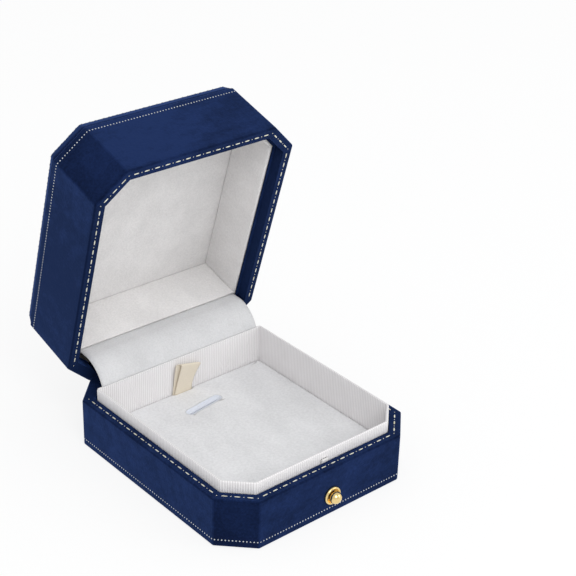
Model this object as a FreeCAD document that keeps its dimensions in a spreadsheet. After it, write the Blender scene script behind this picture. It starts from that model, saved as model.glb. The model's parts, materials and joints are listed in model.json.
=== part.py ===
import FreeCAD, Part
import math
import os
import Sketcher

# Pendant box with a chamfered plan, a hinged deep lid and a push button.
# Row frame: origin at the centre of the underside, +X right, +Y back, +Z up, lid open.
# The lid's pieces are drawn in their closed position and turned open about the hinge.

SIZES = [
    ("box_width", 80.0, "outside width"),
    ("box_depth", 92.0, "outside depth"),
    ("corner_cut", 10.3, "leg of each corner cut"),
    ("rim_height", 18.15, "height of the base rim"),
    ("seam_gap", 0.2, "gap between the closed rims"),
    ("sheet_thickness", 0.4, "sheet under the base"),
    ("sheet_inset", 2.4, "sheet edge to the outside"),
    ("wrap_thickness", 0.45, "leatherette"),
    ("rim_width", 3.9, "flat rim, outside to inside"),
    ("turn_in", 5.0, "leatherette turned in past an edge"),
    ("edge_round", 0.6, "rounding of the outer edges"),
    ("corner_round", 1.1, "rounding of the upright corners"),
    ("wall_thickness", 4.2, "base wall, outside to inside"),
    ("floor_top", 2.4, "top of the base floor"),
    ("liner_thickness", 0.4, "paper on the floor"),
    ("collar_inset", 4.3, "collar face to the outside"),
    ("collar_thickness", 0.9, "ribbed card"),
    ("collar_proud", 3.85, "collar above the base rim"),
    ("collar_back_inset", 13.1, "front face of its back wall to the outside back"),
    ("pad_gap", 0.15, "pad edge to the collar"),
    ("rest_height", 1.4, "frame under the pad board"),
    ("board_thickness", 2.2, "pad board"),
    ("pad_thickness", 1.8, "suede pad on the board"),
    ("pad_round", 0.8, "rounding of the pad's edge"),
    ("rest_width", 6.0, "width of the frame under the pad"),
    ("slot_length", 16.5, "slot in the pad, end to end"),
    ("slot_width", 3.2, "slot in the pad"),
    ("slot_ahead", 12.3, "slot centre ahead of the collar's back wall"),
    ("slit_width", 0.6, "slit in the board under the slot"),
    ("ribbon_width", 8.4, "lifting ribbon"),
    ("ribbon_thickness", 0.3, "one layer of ribbon"),
    ("ribbon_rise", 11.2, "top of the ribbon's fold above the pad"),
    ("hinge_inset", 1.0, "hinge axis to the outside back"),
    ("hinge_drop", 1.15, "hinge axis below the base rim"),
    ("open_angle", 73.4, "lid angle at rest, degrees"),
    ("recess_depth", 4.55, "lid rim to the lining's lower edge"),
    ("lining_height", 17.8, "lid lining, lower edge to ceiling"),
    ("crease_rise", 2.2, "top of the lid wall above the ceiling"),
    ("bevel_rise", 3.2, "bevel of the padded cover"),
    ("bevel_inset", 1.7, "top of the bevel to the outside"),
    ("crown_rise", 1.9, "crown of the top above the bevel"),
    ("lining_inset", 6.0, "lining face to the outside"),
    ("lining_thickness", 1.1, "padded card"),
    ("button_height", 7.7, "button axis above the underside"),
    ("bezel_radius", 3.25, "outside of the button ring"),
    ("bezel_proud", 1.0, "ring standing off the wall"),
    ("knob_radius", 2.15, "ball of the button"),
    ("knob_proud", 1.7, "ball centre off the wall"),
    ("neck_radius", 1.3, "neck under the ball"),
    ("press_travel", 0.6, "button travel"),
    ("stem_radius", 0.8, "button stem"),
    ("latch_width", 6.0, "latch plate"),
    ("latch_thickness", 0.3, "latch plate and its tongue"),
    ("latch_hook", 0.45, "reach of the latch hook"),
    ("latch_depth", 2.9, "latch plate face to the outside"),
    ("tongue_width", 2.6, "latch tongue in front of the collar"),
    ("tongue_depth", 3.95, "tongue face to the outside"),
    ("tongue_rise", 1.25, "top of the tongue above the base rim"),
    ("strike_thickness", 0.25, "strike plate"),
    ("strike_height", 3.0, "strike plate"),
    ("knuckle_radius", 1.0, "hinge barrel"),
    ("pin_radius", 0.5, "hinge pin"),
    ("leaf_thickness", 0.6, "hinge leaf"),
    ("leaf_half", 15.0, "half the hinge width"),
    ("lid_knuckle_in", 4.0, "lid knuckle, inner end"),
    ("lid_knuckle_out", 8.8, "lid knuckle, outer end"),
    ("leaf_drop", 9.0, "base leaf below the axis"),
    ("leaf_rise", 11.0, "lid leaf above the axis"),
    ("rivet_radius", 0.9, "hinge rivet head"),
    ("shank_radius", 0.5, "hinge rivet shank"),
    ("rivet_edge", 2.5, "rivet centre to the leaf's edge"),
    ("cover_radius", 13.0, "hinge cover about the axis"),
    ("cover_thickness", 0.5, "hinge cover"),
    ("cover_half", 33.4, "half its width"),
]


class Size:
    """A length that keeps both its number and its expression on the sheet."""

    def __init__(self, text, value):
        self.text = text
        self.value = value

    def __add__(self, other):
        other = as_size(other)
        return Size(f"({self.text} + {other.text})", self.value + other.value)

    def __sub__(self, other):
        other = as_size(other)
        return Size(f"({self.text} - {other.text})", self.value - other.value)

    def __mul__(self, other):
        other = as_size(other)
        return Size(f"({self.text} * {other.text})", self.value * other.value)

    def __truediv__(self, other):
        other = as_size(other)
        return Size(f"({self.text} / {other.text})", self.value / other.value)

    def __neg__(self):
        return Size(f"(0 - {self.text})", -self.value)

    def __radd__(self, other):
        return as_size(other) + self

    def __rsub__(self, other):
        return as_size(other) - self

    def __rmul__(self, other):
        return as_size(other) * self


def as_size(item):
    return item if isinstance(item, Size) else Size(repr(float(item)), float(item))


doc = FreeCAD.newDocument("pendant_box")
sheet = doc.addObject("Spreadsheet::Sheet", "sizes")
for row, (alias, number, note) in enumerate(SIZES, 1):
    sheet.set(f"A{row}", note)
    sheet.set(f"B{row}", str(number))
    sheet.setAlias(f"B{row}", alias)
doc.recompute()
S = {alias: Size(f"sizes.{alias}", number) for alias, number, note in SIZES}

COS_OPEN = Size("cos(sizes.open_angle * 1deg)", math.cos(math.radians(S["open_angle"].value)))
SIN_OPEN = Size("sin(sizes.open_angle * 1deg)", math.sin(math.radians(S["open_angle"].value)))
HALF_WIDTH = S["box_width"] / 2
HALF_DEPTH = S["box_depth"] / 2
LID_RIM = S["rim_height"] + S["seam_gap"]
HINGE_Y = HALF_DEPTH - S["hinge_inset"]
HINGE_Z = S["rim_height"] - S["hinge_drop"]
COLLAR_TOP = S["rim_height"] + S["collar_proud"]
COLLAR_BACK = HALF_DEPTH - S["collar_back_inset"]
PAD_BOTTOM = S["floor_top"] + S["liner_thickness"] + S["rest_height"]
BOARD_TOP = PAD_BOTTOM + S["board_thickness"]
PAD_TOP = BOARD_TOP + S["pad_thickness"]
SLOT_Y = COLLAR_BACK - S["slot_ahead"]
RECESS_TOP = LID_RIM + S["recess_depth"]
CEILING = RECESS_TOP + S["lining_height"]
CREASE = CEILING + S["crease_rise"]
BEVEL = CREASE + S["bevel_rise"]
TURN_EDGE = S["rim_height"] - S["wrap_thickness"] - S["turn_in"]
SHELF = RECESS_TOP + 0.1
WALL_FACE = HALF_DEPTH - S["wall_thickness"]
SHRINK = 2 - math.sqrt(2)
# Width of the hair gap at a riveted or glued face.
FREE = 0.02
# Gap round a piece that is laid in or slides.
CLEAR = 0.05
# Room round a moving metal piece.
ROOM = 0.3
# How far a cut runs past the face it opens.
OVER = 1.0

LATCH_HALF = S["latch_width"] / 2
LATCH_LOW = S["button_height"] - 3.1
TONGUE_HALF = S["tongue_width"] / 2
TONGUE_TOP = S["rim_height"] + S["tongue_rise"]
JOG_LOW = TURN_EDGE - 1.3
STRIKE_SEAT = HALF_DEPTH - S["rim_width"] + S["wrap_thickness"]
STRIKE_LOW = LID_RIM + S["wrap_thickness"]
STRIKE_TOP = STRIKE_LOW + S["strike_height"]
WINDOW_HALF = TONGUE_HALF + 0.2
WINDOW_LOW = TONGUE_TOP - S["latch_thickness"] - CLEAR
WINDOW_TOP = TONGUE_TOP + CLEAR * 2

HINGE_HALF = S["leaf_half"] + ROOM
KNUCKLE_CUT = HINGE_Z - S["knuckle_radius"] - 0.2
BASE_RIVET_Z = S["rivet_edge"] - S["leaf_drop"]
LID_RIVET_Z = S["leaf_rise"] - S["rivet_edge"]
BASE_RIVET_X = S["leaf_half"] * 0.6
LID_RIVET_X = (S["lid_knuckle_in"] + S["lid_knuckle_out"]) / 2
LEAF_BACK = WALL_FACE - HINGE_Y - FREE
LEAF_FRONT = LEAF_BACK - S["leaf_thickness"]
SHANK_DEPTH = 2.0
HEAD_THICKNESS = 0.5

BORE = S["bezel_radius"] - 0.35
SPRING_LENGTH_PRESSED = 1.05
NECK_LOW = 0.1
BEZEL_SEAT = -(S["press_travel"] + SPRING_LENGTH_PRESSED - NECK_LOW)
BEZEL_BACK = BEZEL_SEAT - 0.35
TIP_RADIUS = S["stem_radius"] * 0.6
TIP_LENGTH = 0.5
WASHER_RADIUS = 1.3
WASHER_THICKNESS = 0.4

PAD_INSET = S["collar_inset"] + S["collar_thickness"] + S["pad_gap"]
PAD_BACK = COLLAR_BACK - S["pad_gap"]
RIBBON_HALF = S["ribbon_width"] / 2
RIBBON_DEPTH = S["ribbon_thickness"] * 2 + 0.1
RIBBON_LEAN = 0.9
RIBBON_NECK = 2.2

LINING_SEAT = S["lining_inset"] - S["lining_thickness"]
LINING_TOP = 0.8
BEVEL_FOOT = 0.35
# Inset past the bevel, and share of the crown's rise reached there.
CROWN_STEPS = [(0.7, 0.4), (2.1, 0.65), (6.0, 0.85), (18.0, 1.0)]

nodes = []


def new_body(label):
    """A body of its own for one sub-part, named as its file."""
    body = doc.addObject("PartDesign::Body", label)
    body.Label = label
    nodes.append(body)
    return body


def origin_plane(body, role):
    return next(f for f in body.Origin.OriginFeatures if f.Role == role)


def new_sketch(body, role="XY_Plane", offset=0.0):
    sketch = body.newObject("Sketcher::SketchObject", body.Name + "_sketch")
    sketch.AttachmentSupport = [(origin_plane(body, role), "")]
    sketch.MapMode = "FlatFace"
    sketch.setExpression("AttachmentOffset.Base.z", as_size(offset).text)
    return sketch


def hold_point(sketch, geometry, place, x, y):
    """Hold one point of a sketch at sheet-driven coordinates."""
    for kind, axis, where in (("DistanceX", -2, as_size(x)), ("DistanceY", -1, as_size(y))):
        if where.text in ("0.0", "-0.0"):
            sketch.addConstraint(Sketcher.Constraint("PointOnObject", geometry, place, axis))
            continue
        rule = Sketcher.Constraint(kind, -1, 1, geometry, place, where.value)
        index = sketch.addConstraint(rule)
        sketch.setExpression(f"Constraints[{index}]", where.text)


def add_polygon(sketch, points):
    first = sketch.GeometryCount
    count = len(points)
    corners = [FreeCAD.Vector(as_size(x).value, as_size(y).value, 0) for x, y in points]
    for i in range(count):
        sketch.addGeometry(Part.LineSegment(corners[i], corners[(i + 1) % count]), False)
    for i in range(count):
        follower = first + (i + 1) % count
        sketch.addConstraint(Sketcher.Constraint("Coincident", first + i, 2, follower, 1))
    for i, (x, y) in enumerate(points):
        hold_point(sketch, first + i, 1, x, y)


def add_circle(sketch, x, y, radius):
    radius = as_size(radius)
    centre = FreeCAD.Vector(as_size(x).value, as_size(y).value, 0)
    circle = Part.Circle(centre, FreeCAD.Vector(0, 0, 1), radius.value)
    index = sketch.addGeometry(circle, False)
    hold_point(sketch, index, 3, x, y)
    rule = sketch.addConstraint(Sketcher.Constraint("Radius", index, radius.value))
    sketch.setExpression(f"Constraints[{rule}]", radius.text)


def rectangle(x0, y0, x1, y1):
    return [(x0, y0), (x1, y0), (x1, y1), (x0, y1)]


def outline(inset, back=None):
    """Chamfered plan at an inset; back gives its last edge another place."""
    inset = as_size(inset)
    side = HALF_WIDTH - inset
    front = HALF_DEPTH - inset
    rear = front if back is None else as_size(back)
    cut = S["corner_cut"] - inset * SHRINK
    return [
        (-side, -(front - cut)), (-(side - cut), -front), (side - cut, -front),
        (side, -(front - cut)), (side, rear - cut), (side - cut, rear),
        (-(side - cut), rear), (-side, rear - cut),
    ]


def tray_outline(inset, back):
    """Plan with cut front corners and square back corners."""
    inset = as_size(inset)
    side = HALF_WIDTH - inset
    front = HALF_DEPTH - inset
    cut = S["corner_cut"] - inset * SHRINK
    return [
        (-side, -(front - cut)), (-(side - cut), -front), (side - cut, -front),
        (side, -(front - cut)), (side, back), (-side, back),
    ]


def pad(body, loops, height, role="XY_Plane", offset=0.0, middle=False):
    """Raise one or more closed loops by a height."""
    sketch = new_sketch(body, role, offset)
    for loop in loops:
        if callable(loop):
            loop(sketch)
        else:
            add_polygon(sketch, loop)
    feature = body.newObject("PartDesign::Pad", body.Name + "_pad")
    feature.Profile = sketch
    feature.setExpression("Length", as_size(height).text)
    if middle:
        feature.SideType = "Symmetric"
    sketch.Visibility = False
    doc.recompute()
    return feature


def pocket(body, loops, depth, role="XY_Plane", offset=0.0, along=False, middle=False, turn=0.0):
    """Cut loops; along means the cut runs with the sketch's own normal, turn is about its upright."""
    before = body.Shape.Volume
    sketch = new_sketch(body, role, offset)
    if turn:
        sketch.AttachmentOffset.Rotation = FreeCAD.Rotation(FreeCAD.Vector(0, 1, 0), turn)
    for loop in loops:
        if callable(loop):
            loop(sketch)
        else:
            add_polygon(sketch, loop)
    feature = body.newObject("PartDesign::Pocket", body.Name + "_pocket")
    feature.Profile = sketch
    feature.setExpression("Length", as_size(depth).text)
    feature.Reversed = along
    if middle:
        feature.SideType = "Symmetric"
    sketch.Visibility = False
    doc.recompute()
    if body.Shape.Volume >= before - 1e-6:
        raise ValueError(f"{body.Label}: a pocket removed nothing")
    return feature


def ring_circle(x, y, radius):
    return lambda sketch: add_circle(sketch, x, y, radius)


def block(body, x0, x1, y0, y1, z0, z1):
    """Add a box between six sheet-driven faces."""
    return pad(body, [rectangle(x0, y0, x1, y1)], as_size(z1) - z0, offset=z0)


def cut_block(body, x0, x1, y0, y1, z0, z1):
    return pocket(body, [rectangle(x0, y0, x1, y1)], as_size(z1) - z0, offset=z0, along=True)


def revolve(body, points):
    """Turn a profile of (radius, height) once about the body's Z axis."""
    sketch = new_sketch(body, "XZ_Plane")
    add_polygon(sketch, points)
    feature = body.newObject("PartDesign::Revolution", body.Name + "_turn")
    feature.Profile = sketch
    feature.ReferenceAxis = (sketch, ["V_Axis"])
    feature.Angle = 360
    sketch.Visibility = False
    doc.recompute()
    return feature


def fillet(body, chosen, radius):
    """Round the edges that the test picks."""
    edges = body.Shape.Edges
    names = [f"Edge{i}" for i, edge in enumerate(edges, 1) if chosen(edge)]
    if not names:
        raise ValueError(f"{body.Label}: no edge to round")
    base = body.Tip
    feature = body.newObject("PartDesign::Fillet", body.Name + "_round")
    feature.Base = (base, names)
    feature.setExpression("Radius", as_size(radius).text)
    doc.recompute()
    if "Invalid" in feature.State:
        raise ValueError(f"{body.Label}: the rounding failed")
    return feature


def outside(edge, z=None):
    """True for an edge on the outer chamfered plan, level at z or upright."""
    half_width = HALF_WIDTH.value
    half_depth = HALF_DEPTH.value
    reach = half_width + half_depth - S["corner_cut"].value
    for vertex in edge.Vertexes:
        x = abs(vertex.X)
        y = abs(vertex.Y)
        if max(x - half_width, y - half_depth, x + y - reach) < -1e-4:
            return False
        if z is not None and abs(vertex.Z - z) > 1e-4:
            return False
    ends = [vertex.Point for vertex in edge.Vertexes]
    if len(ends) < 2:
        return False
    upright = abs(ends[0].x - ends[1].x) + abs(ends[0].y - ends[1].y) < 1e-4
    return upright if z is None else not upright


def place(body, x=0.0, y=0.0, z=0.0, axis=None, angle=0.0):
    """Place a body from sheet sizes; angle in degrees about axis."""
    if axis is not None:
        turn = FreeCAD.Rotation(FreeCAD.Vector(*axis), as_size(angle).value)
        body.Placement = FreeCAD.Placement(FreeCAD.Vector(0, 0, 0), turn)
        body.setExpression("Placement.Rotation.Angle", f"{as_size(angle).text} * 1deg")
    for letter, where in (("x", x), ("y", y), ("z", z)):
        body.setExpression(f"Placement.Base.{letter}", as_size(where).text)


def open_lid(body):
    """Turn a piece drawn closed to the rest pose about the hinge."""
    y = HINGE_Y
    z = HINGE_Z
    shift_y = y - (COS_OPEN * y + SIN_OPEN * z)
    shift_z = z - (COS_OPEN * z - SIN_OPEN * y)
    place(body, 0.0, shift_y, shift_z, (-1, 0, 0), S["open_angle"])


def make_base_sheet():
    body = new_body("base_sheet")
    pad(body, [outline(S["sheet_inset"])], S["sheet_thickness"])


def make_rounded_block(body, low, high):
    """Solid plan block with its upright and level outer edges rounded."""
    pad(body, [outline(0.0)], high - low, offset=low)
    fillet(body, outside, S["corner_round"])
    levels = (low.value, high.value)
    fillet(body, lambda e: on_rounded_plan(e, levels), S["edge_round"])


def make_base_wrap():
    body = new_body("base_wrap")
    thick = S["wrap_thickness"]
    low = S["sheet_thickness"]
    floor = low + thick
    rim_low = S["rim_height"] - thick
    make_rounded_block(body, low, S["rim_height"])
    pocket(body, [outline(S["turn_in"])], thick * 2, offset=low - thick, along=True)
    pocket(body, [outline(S["rim_width"])], S["rim_height"], offset=floor, along=True)
    pocket(body, [outline(thick), outline(S["rim_width"])], TURN_EDGE - floor, offset=floor, along=True)
    inner = S["rim_width"] - thick
    pocket(body, [outline(thick), outline(inner)], rim_low - TURN_EDGE, offset=TURN_EDGE, along=True)
    cut_block(body, -HINGE_HALF, HINGE_HALF, HALF_DEPTH - S["rim_width"] - CLEAR, HALF_DEPTH + OVER,
              KNUCKLE_CUT, S["rim_height"] + OVER)
    cut_block(body, -HINGE_HALF, HINGE_HALF, WALL_FACE, HALF_DEPTH - thick * 2,
              TURN_EDGE - OVER, HINGE_Z)
    pocket(body, [ring_circle(0.0, S["button_height"], BORE)], thick + CLEAR * 2, "XZ_Plane",
           HALF_DEPTH + CLEAR)


def on_rounded_plan(edge, heights):
    """True for a level edge of the outer plan after its corners are rounded."""
    box = edge.BoundBox
    level = any(abs(box.ZMin - z) < 1e-4 and abs(box.ZMax - z) < 1e-4 for z in heights)
    if not level:
        return False
    half_width = HALF_WIDTH.value
    half_depth = HALF_DEPTH.value
    reach = half_width + half_depth - S["corner_cut"].value
    middle = edge.valueAt((edge.FirstParameter + edge.LastParameter) / 2)
    x = abs(middle.x)
    y = abs(middle.y)
    return max(x - half_width, y - half_depth, x + y - reach) > -0.4


def make_base_core():
    body = new_body("base_core")
    thick = S["wrap_thickness"]
    low = S["sheet_thickness"] + thick
    rim_low = S["rim_height"] - thick
    pad(body, [outline(thick)], rim_low - low, offset=low)
    pocket(body, [outline(S["rim_width"] - thick)], rim_low - TURN_EDGE, offset=TURN_EDGE, along=True)
    pocket(body, [outline(S["wall_thickness"])], TURN_EDGE - S["floor_top"],
           offset=S["floor_top"], along=True)
    cut_block(body, -(LATCH_HALF + ROOM), LATCH_HALF + ROOM, -(HALF_DEPTH - S["latch_depth"] + ROOM / 2),
              -(WALL_FACE - OVER), LATCH_LOW - ROOM * 2, TURN_EDGE)
    cut_block(body, -HINGE_HALF, HINGE_HALF, WALL_FACE - OVER, HALF_DEPTH + OVER,
              KNUCKLE_CUT, rim_low + OVER)
    pocket(body, [ring_circle(0.0, S["button_height"], BORE)], CLEAR + NECK_LOW - BEZEL_BACK, "XZ_Plane",
           HALF_DEPTH + CLEAR)
    pocket(body, [ring_circle(0.0, S["button_height"], S["stem_radius"] + ROOM)], S["wall_thickness"],
           "XZ_Plane", HALF_DEPTH)
    make_pilot_holes(body, HINGE_Z + BASE_RIVET_Z, BASE_RIVET_X)


def make_pilot_holes(body, height, reach):
    """Holes in a back wall for the two rivets of a leaf, drawn with the lid closed."""
    for x in (-reach, reach):
        pocket(body, [ring_circle(x, height, S["shank_radius"] + FREE)], SHANK_DEPTH + OVER,
               "XZ_Plane", -(WALL_FACE - OVER))


def make_floor_liner():
    body = new_body("floor_liner")
    inset = S["collar_inset"] + S["collar_thickness"] + FREE
    pad(body, [tray_outline(inset, COLLAR_BACK - FREE)], S["liner_thickness"],
        offset=S["floor_top"])


def make_collar():
    body = new_body("collar")
    inset = S["collar_inset"]
    thick = S["collar_thickness"]
    outer = tray_outline(inset, COLLAR_BACK + thick)
    inner = tray_outline(inset + thick, COLLAR_BACK)
    pad(body, [outer, inner], COLLAR_TOP - S["floor_top"], offset=S["floor_top"])
    top = COLLAR_TOP.value
    fillet(body, lambda e: abs(e.BoundBox.ZMin - top) < 1e-4, 0.3)
    pocket(body, [ring_circle(0.0, S["button_height"], WASHER_RADIUS + OVER)], thick + OVER * 2, "XZ_Plane",
           HALF_DEPTH - inset + OVER)
    reach = S["tongue_depth"] + S["latch_thickness"] + S["press_travel"] + CLEAR
    cut_block(body, -WINDOW_HALF, WINDOW_HALF, -(HALF_DEPTH - inset + OVER), -(HALF_DEPTH - reach),
              JOG_LOW - ROOM, WINDOW_TOP + CLEAR)


def make_pad_rest():
    body = new_body("pad_rest")
    inset = S["collar_inset"] + S["collar_thickness"] + CLEAR * 2
    back = COLLAR_BACK - CLEAR * 2
    low = S["floor_top"] + S["liner_thickness"]
    inner = tray_outline(inset + S["rest_width"], back - S["rest_width"])
    pad(body, [tray_outline(inset, back), inner], PAD_BOTTOM - low, offset=low)


def cut_ribbon_notch(body, low, high):
    cut_block(body, -(RIBBON_HALF + CLEAR * 4), RIBBON_HALF + CLEAR * 4, PAD_BACK - RIBBON_DEPTH - FREE,
              PAD_BACK + OVER, low - OVER, high + OVER)


def make_pad_board():
    body = new_body("pad_board")
    pad(body, [tray_outline(PAD_INSET + ROOM, PAD_BACK - ROOM)], S["board_thickness"],
        offset=PAD_BOTTOM)
    cut_ribbon_notch(body, PAD_BOTTOM, PAD_TOP)
    half = S["slit_width"] / 2
    end = S["slot_length"] / 2 - S["slot_width"] / 2
    cut_block(body, -end, end, SLOT_Y - half, SLOT_Y + half, PAD_BOTTOM - OVER, BOARD_TOP + OVER)


def make_pad_cover():
    body = new_body("pad_cover")
    low = BOARD_TOP
    pad(body, [tray_outline(PAD_INSET, PAD_BACK)], PAD_TOP - low, offset=low)
    top = PAD_TOP.value
    fillet(body, lambda e: abs(e.BoundBox.ZMin - top) < 1e-4, S["pad_round"])
    cut_ribbon_notch(body, low, PAD_TOP)
    half = (S["slot_length"] - S["slot_width"]) / 2
    radius = S["slot_width"] / 2
    cut_block(body, -half, half, SLOT_Y - radius, SLOT_Y + radius, low - OVER, PAD_TOP + OVER)
    for side in (-1, 1):
        pocket(body, [ring_circle(half * side, SLOT_Y, radius)], PAD_TOP - low + OVER * 2,
               offset=low - OVER, along=True)


def make_ribbon_tab():
    body = new_body("ribbon_tab")
    thick = S["ribbon_thickness"]
    front = PAD_BACK - RIBBON_DEPTH
    back = PAD_BACK
    low = PAD_BOTTOM
    top = PAD_TOP + S["ribbon_rise"]
    lean = RIBBON_LEAN
    neck = top - RIBBON_NECK
    profile = [
        (front, low), (front, PAD_TOP), (front - lean, neck), (front - lean, top),
        (back - lean, top), (back - lean, neck), (back, PAD_TOP), (back, low),
        (back - thick, low), (back - thick, PAD_TOP), (back - thick - lean, neck),
        (back - thick - lean, top - thick), (front + thick - lean, top - thick),
        (front + thick - lean, neck), (front + thick, PAD_TOP), (front + thick, low),
    ]
    pad(body, [profile], S["ribbon_width"], "YZ_Plane", middle=True)


def front_place(body):
    """Stand a turned piece in the front wall, its Z axis pointing out."""
    place(body, 0.0, -HALF_DEPTH, S["button_height"], (1, 0, 0), 90.0)


def make_button_bezel():
    body = new_body("button_bezel")
    outer = S["bezel_radius"]
    inner = S["knob_radius"] + 0.12
    sleeve = BORE - FREE
    proud = S["bezel_proud"]
    profile = [(sleeve, BEZEL_BACK), (sleeve, 0.0), (outer, 0.0)]
    middle = (outer + inner) / 2
    half = (outer - inner) / 2
    for step in range(1, 8):
        turn = math.pi * step / 8
        profile.append((middle + half * math.cos(turn), proud * (0.35 + 0.65 * math.sin(turn))))
    bore = S["stem_radius"] + 0.06
    profile += [(inner, BEZEL_SEAT), (bore, BEZEL_SEAT), (bore, BEZEL_BACK)]
    revolve(body, profile)
    front_place(body)


def make_button_knob():
    body = new_body("button_knob")
    radius = S["knob_radius"]
    centre = S["knob_proud"]
    shoulder = -S["latch_depth"]
    tip = shoulder - S["latch_thickness"] - TIP_LENGTH
    stem = S["stem_radius"]
    neck = S["neck_radius"]
    profile = [
        (0.0, tip), (TIP_RADIUS, tip), (TIP_RADIUS, shoulder), (stem, shoulder),
        (stem, NECK_LOW), (neck, NECK_LOW), (neck, centre), (0.0, centre),
    ]
    revolve(body, profile)
    ball = doc.addObject("PartDesign::AdditiveSphere", "button_knob_ball")
    body.addObject(ball)
    ball.AttachmentSupport = [(origin_plane(body, "XY_Plane"), "")]
    ball.MapMode = "FlatFace"
    ball.setExpression("Radius", radius.text)
    ball.setExpression("AttachmentOffset.Base.z", centre.text)
    doc.recompute()
    front_place(body)


def make_return_spring():
    body = new_body("return_spring")
    wire = 0.14
    low = BEZEL_SEAT + wire + 0.03
    sketch = new_sketch(body, "XZ_Plane")
    mean = (S["stem_radius"] + S["knob_radius"]) / 2
    section = []
    for i in range(6):
        turn = math.radians(60 * i)
        section.append((mean + wire * math.cos(turn), low + wire * math.sin(turn)))
    add_polygon(sketch, section)
    coil = body.newObject("PartDesign::AdditiveHelix", "return_spring_coil")
    coil.Profile = sketch
    coil.ReferenceAxis = (sketch, ["V_Axis"])
    coil.Mode = "height-turns-angle"
    coil.setExpression("Height", (NECK_LOW - low - wire - 0.03).text)
    coil.Turns = 2.5
    coil.Angle = 0
    coil.Growth = 0
    sketch.Visibility = False
    doc.recompute()
    front_place(body)


def make_latch_plate():
    """Bent plate: a foot on the stem, a jog inward and a hooked tongue in front of the collar."""
    body = new_body("latch_plate")
    thick = S["latch_thickness"]
    foot = -(HALF_DEPTH - S["latch_depth"])
    tongue = -(HALF_DEPTH - S["tongue_depth"])
    jog_top = JOG_LOW + thick
    block(body, -LATCH_HALF, LATCH_HALF, foot, foot + thick, LATCH_LOW, jog_top)
    block(body, -TONGUE_HALF, TONGUE_HALF, foot, tongue + thick, JOG_LOW, jog_top)
    block(body, -TONGUE_HALF, TONGUE_HALF, tongue, tongue + thick, JOG_LOW, TONGUE_TOP)
    block(body, -TONGUE_HALF, TONGUE_HALF, tongue - S["latch_hook"], tongue + thick,
          TONGUE_TOP - thick, TONGUE_TOP)
    pocket(body, [ring_circle(0.0, S["button_height"], TIP_RADIUS + FREE)], thick + OVER, "XZ_Plane",
           HALF_DEPTH - S["latch_depth"] + OVER / 2)


def make_stem_washer():
    body = new_body("stem_washer")
    high = -(S["latch_depth"] + S["latch_thickness"])
    low = high - WASHER_THICKNESS
    bore = TIP_RADIUS + FREE
    revolve(body, [(bore, low), (WASHER_RADIUS, low), (WASHER_RADIUS, high), (bore, high)])
    front_place(body)


def hinge_place(body, opened):
    angle = S["open_angle"] if opened else as_size(0.0)
    place(body, 0.0, HINGE_Y, HINGE_Z, (-1, 0, 0), angle)


def make_knuckles(body, spans, level, x_half, plate_low, plate_high):
    """Leaf plate, arms and rolled knuckles, drawn about the hinge axis."""
    thick = S["leaf_thickness"]
    radius = S["knuckle_radius"]
    arm_low = level * (radius - thick / 2) - thick / 2
    block(body, -x_half, x_half, LEAF_FRONT, LEAF_BACK, plate_low, plate_high)
    for x0, x1 in spans:
        width = x1 - x0
        arm = rectangle(LEAF_FRONT, arm_low, as_size(0.0), arm_low + thick)
        pad(body, [arm], width, "YZ_Plane", x0)
        pad(body, [ring_circle(0.0, 0.0, radius)], width, "YZ_Plane", x0)
    reach = S["leaf_half"] * 2 + 4
    bore = S["pin_radius"] + 0.03
    pocket(body, [ring_circle(0.0, 0.0, bore)], reach, "YZ_Plane", S["leaf_half"] + 2)


def make_rivet_holes(body, height, reach):
    for x in (-reach, reach):
        hole = ring_circle(x, height, S["shank_radius"] + FREE)
        pocket(body, [hole], 2.0, "XZ_Plane", -(LEAF_FRONT - 0.5))


def make_hinge():
    thick = S["leaf_thickness"]
    radius = S["knuckle_radius"]
    half = S["leaf_half"]
    outer = S["lid_knuckle_out"] + 0.2
    body = new_body("hinge_leaf_base")
    spans = [(-half, -outer), (outer, half)]
    make_knuckles(body, spans, -1, half, -S["leaf_drop"], -radius + thick)
    make_rivet_holes(body, BASE_RIVET_Z, BASE_RIVET_X)
    hinge_place(body, False)
    body = new_body("hinge_leaf_lid")
    x_in = S["lid_knuckle_in"]
    x_out = S["lid_knuckle_out"]
    make_knuckles(body, [(-x_out, -x_in), (x_in, x_out)], 1, x_out, radius - thick, S["leaf_rise"])
    make_rivet_holes(body, LID_RIVET_Z, LID_RIVET_X)
    hinge_place(body, True)
    body = new_body("hinge_pin")
    length = half * 2 + 0.4
    pad(body, [ring_circle(0.0, 0.0, S["pin_radius"])], length, "YZ_Plane", middle=True)
    hinge_place(body, False)


def make_rivets(label, height, reach, opened):
    """Two rivets, head on the leaf and shank in the wall behind it."""
    body = new_body(label)
    tip = LEAF_BACK + SHANK_DEPTH
    for x in (-reach, reach):
        pad(body, [ring_circle(x, height, S["rivet_radius"])], HEAD_THICKNESS, "XZ_Plane", -LEAF_FRONT)
        pad(body, [ring_circle(x, height, S["shank_radius"])], tip - LEAF_FRONT, "XZ_Plane", -tip)
    hinge_place(body, opened)


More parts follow.
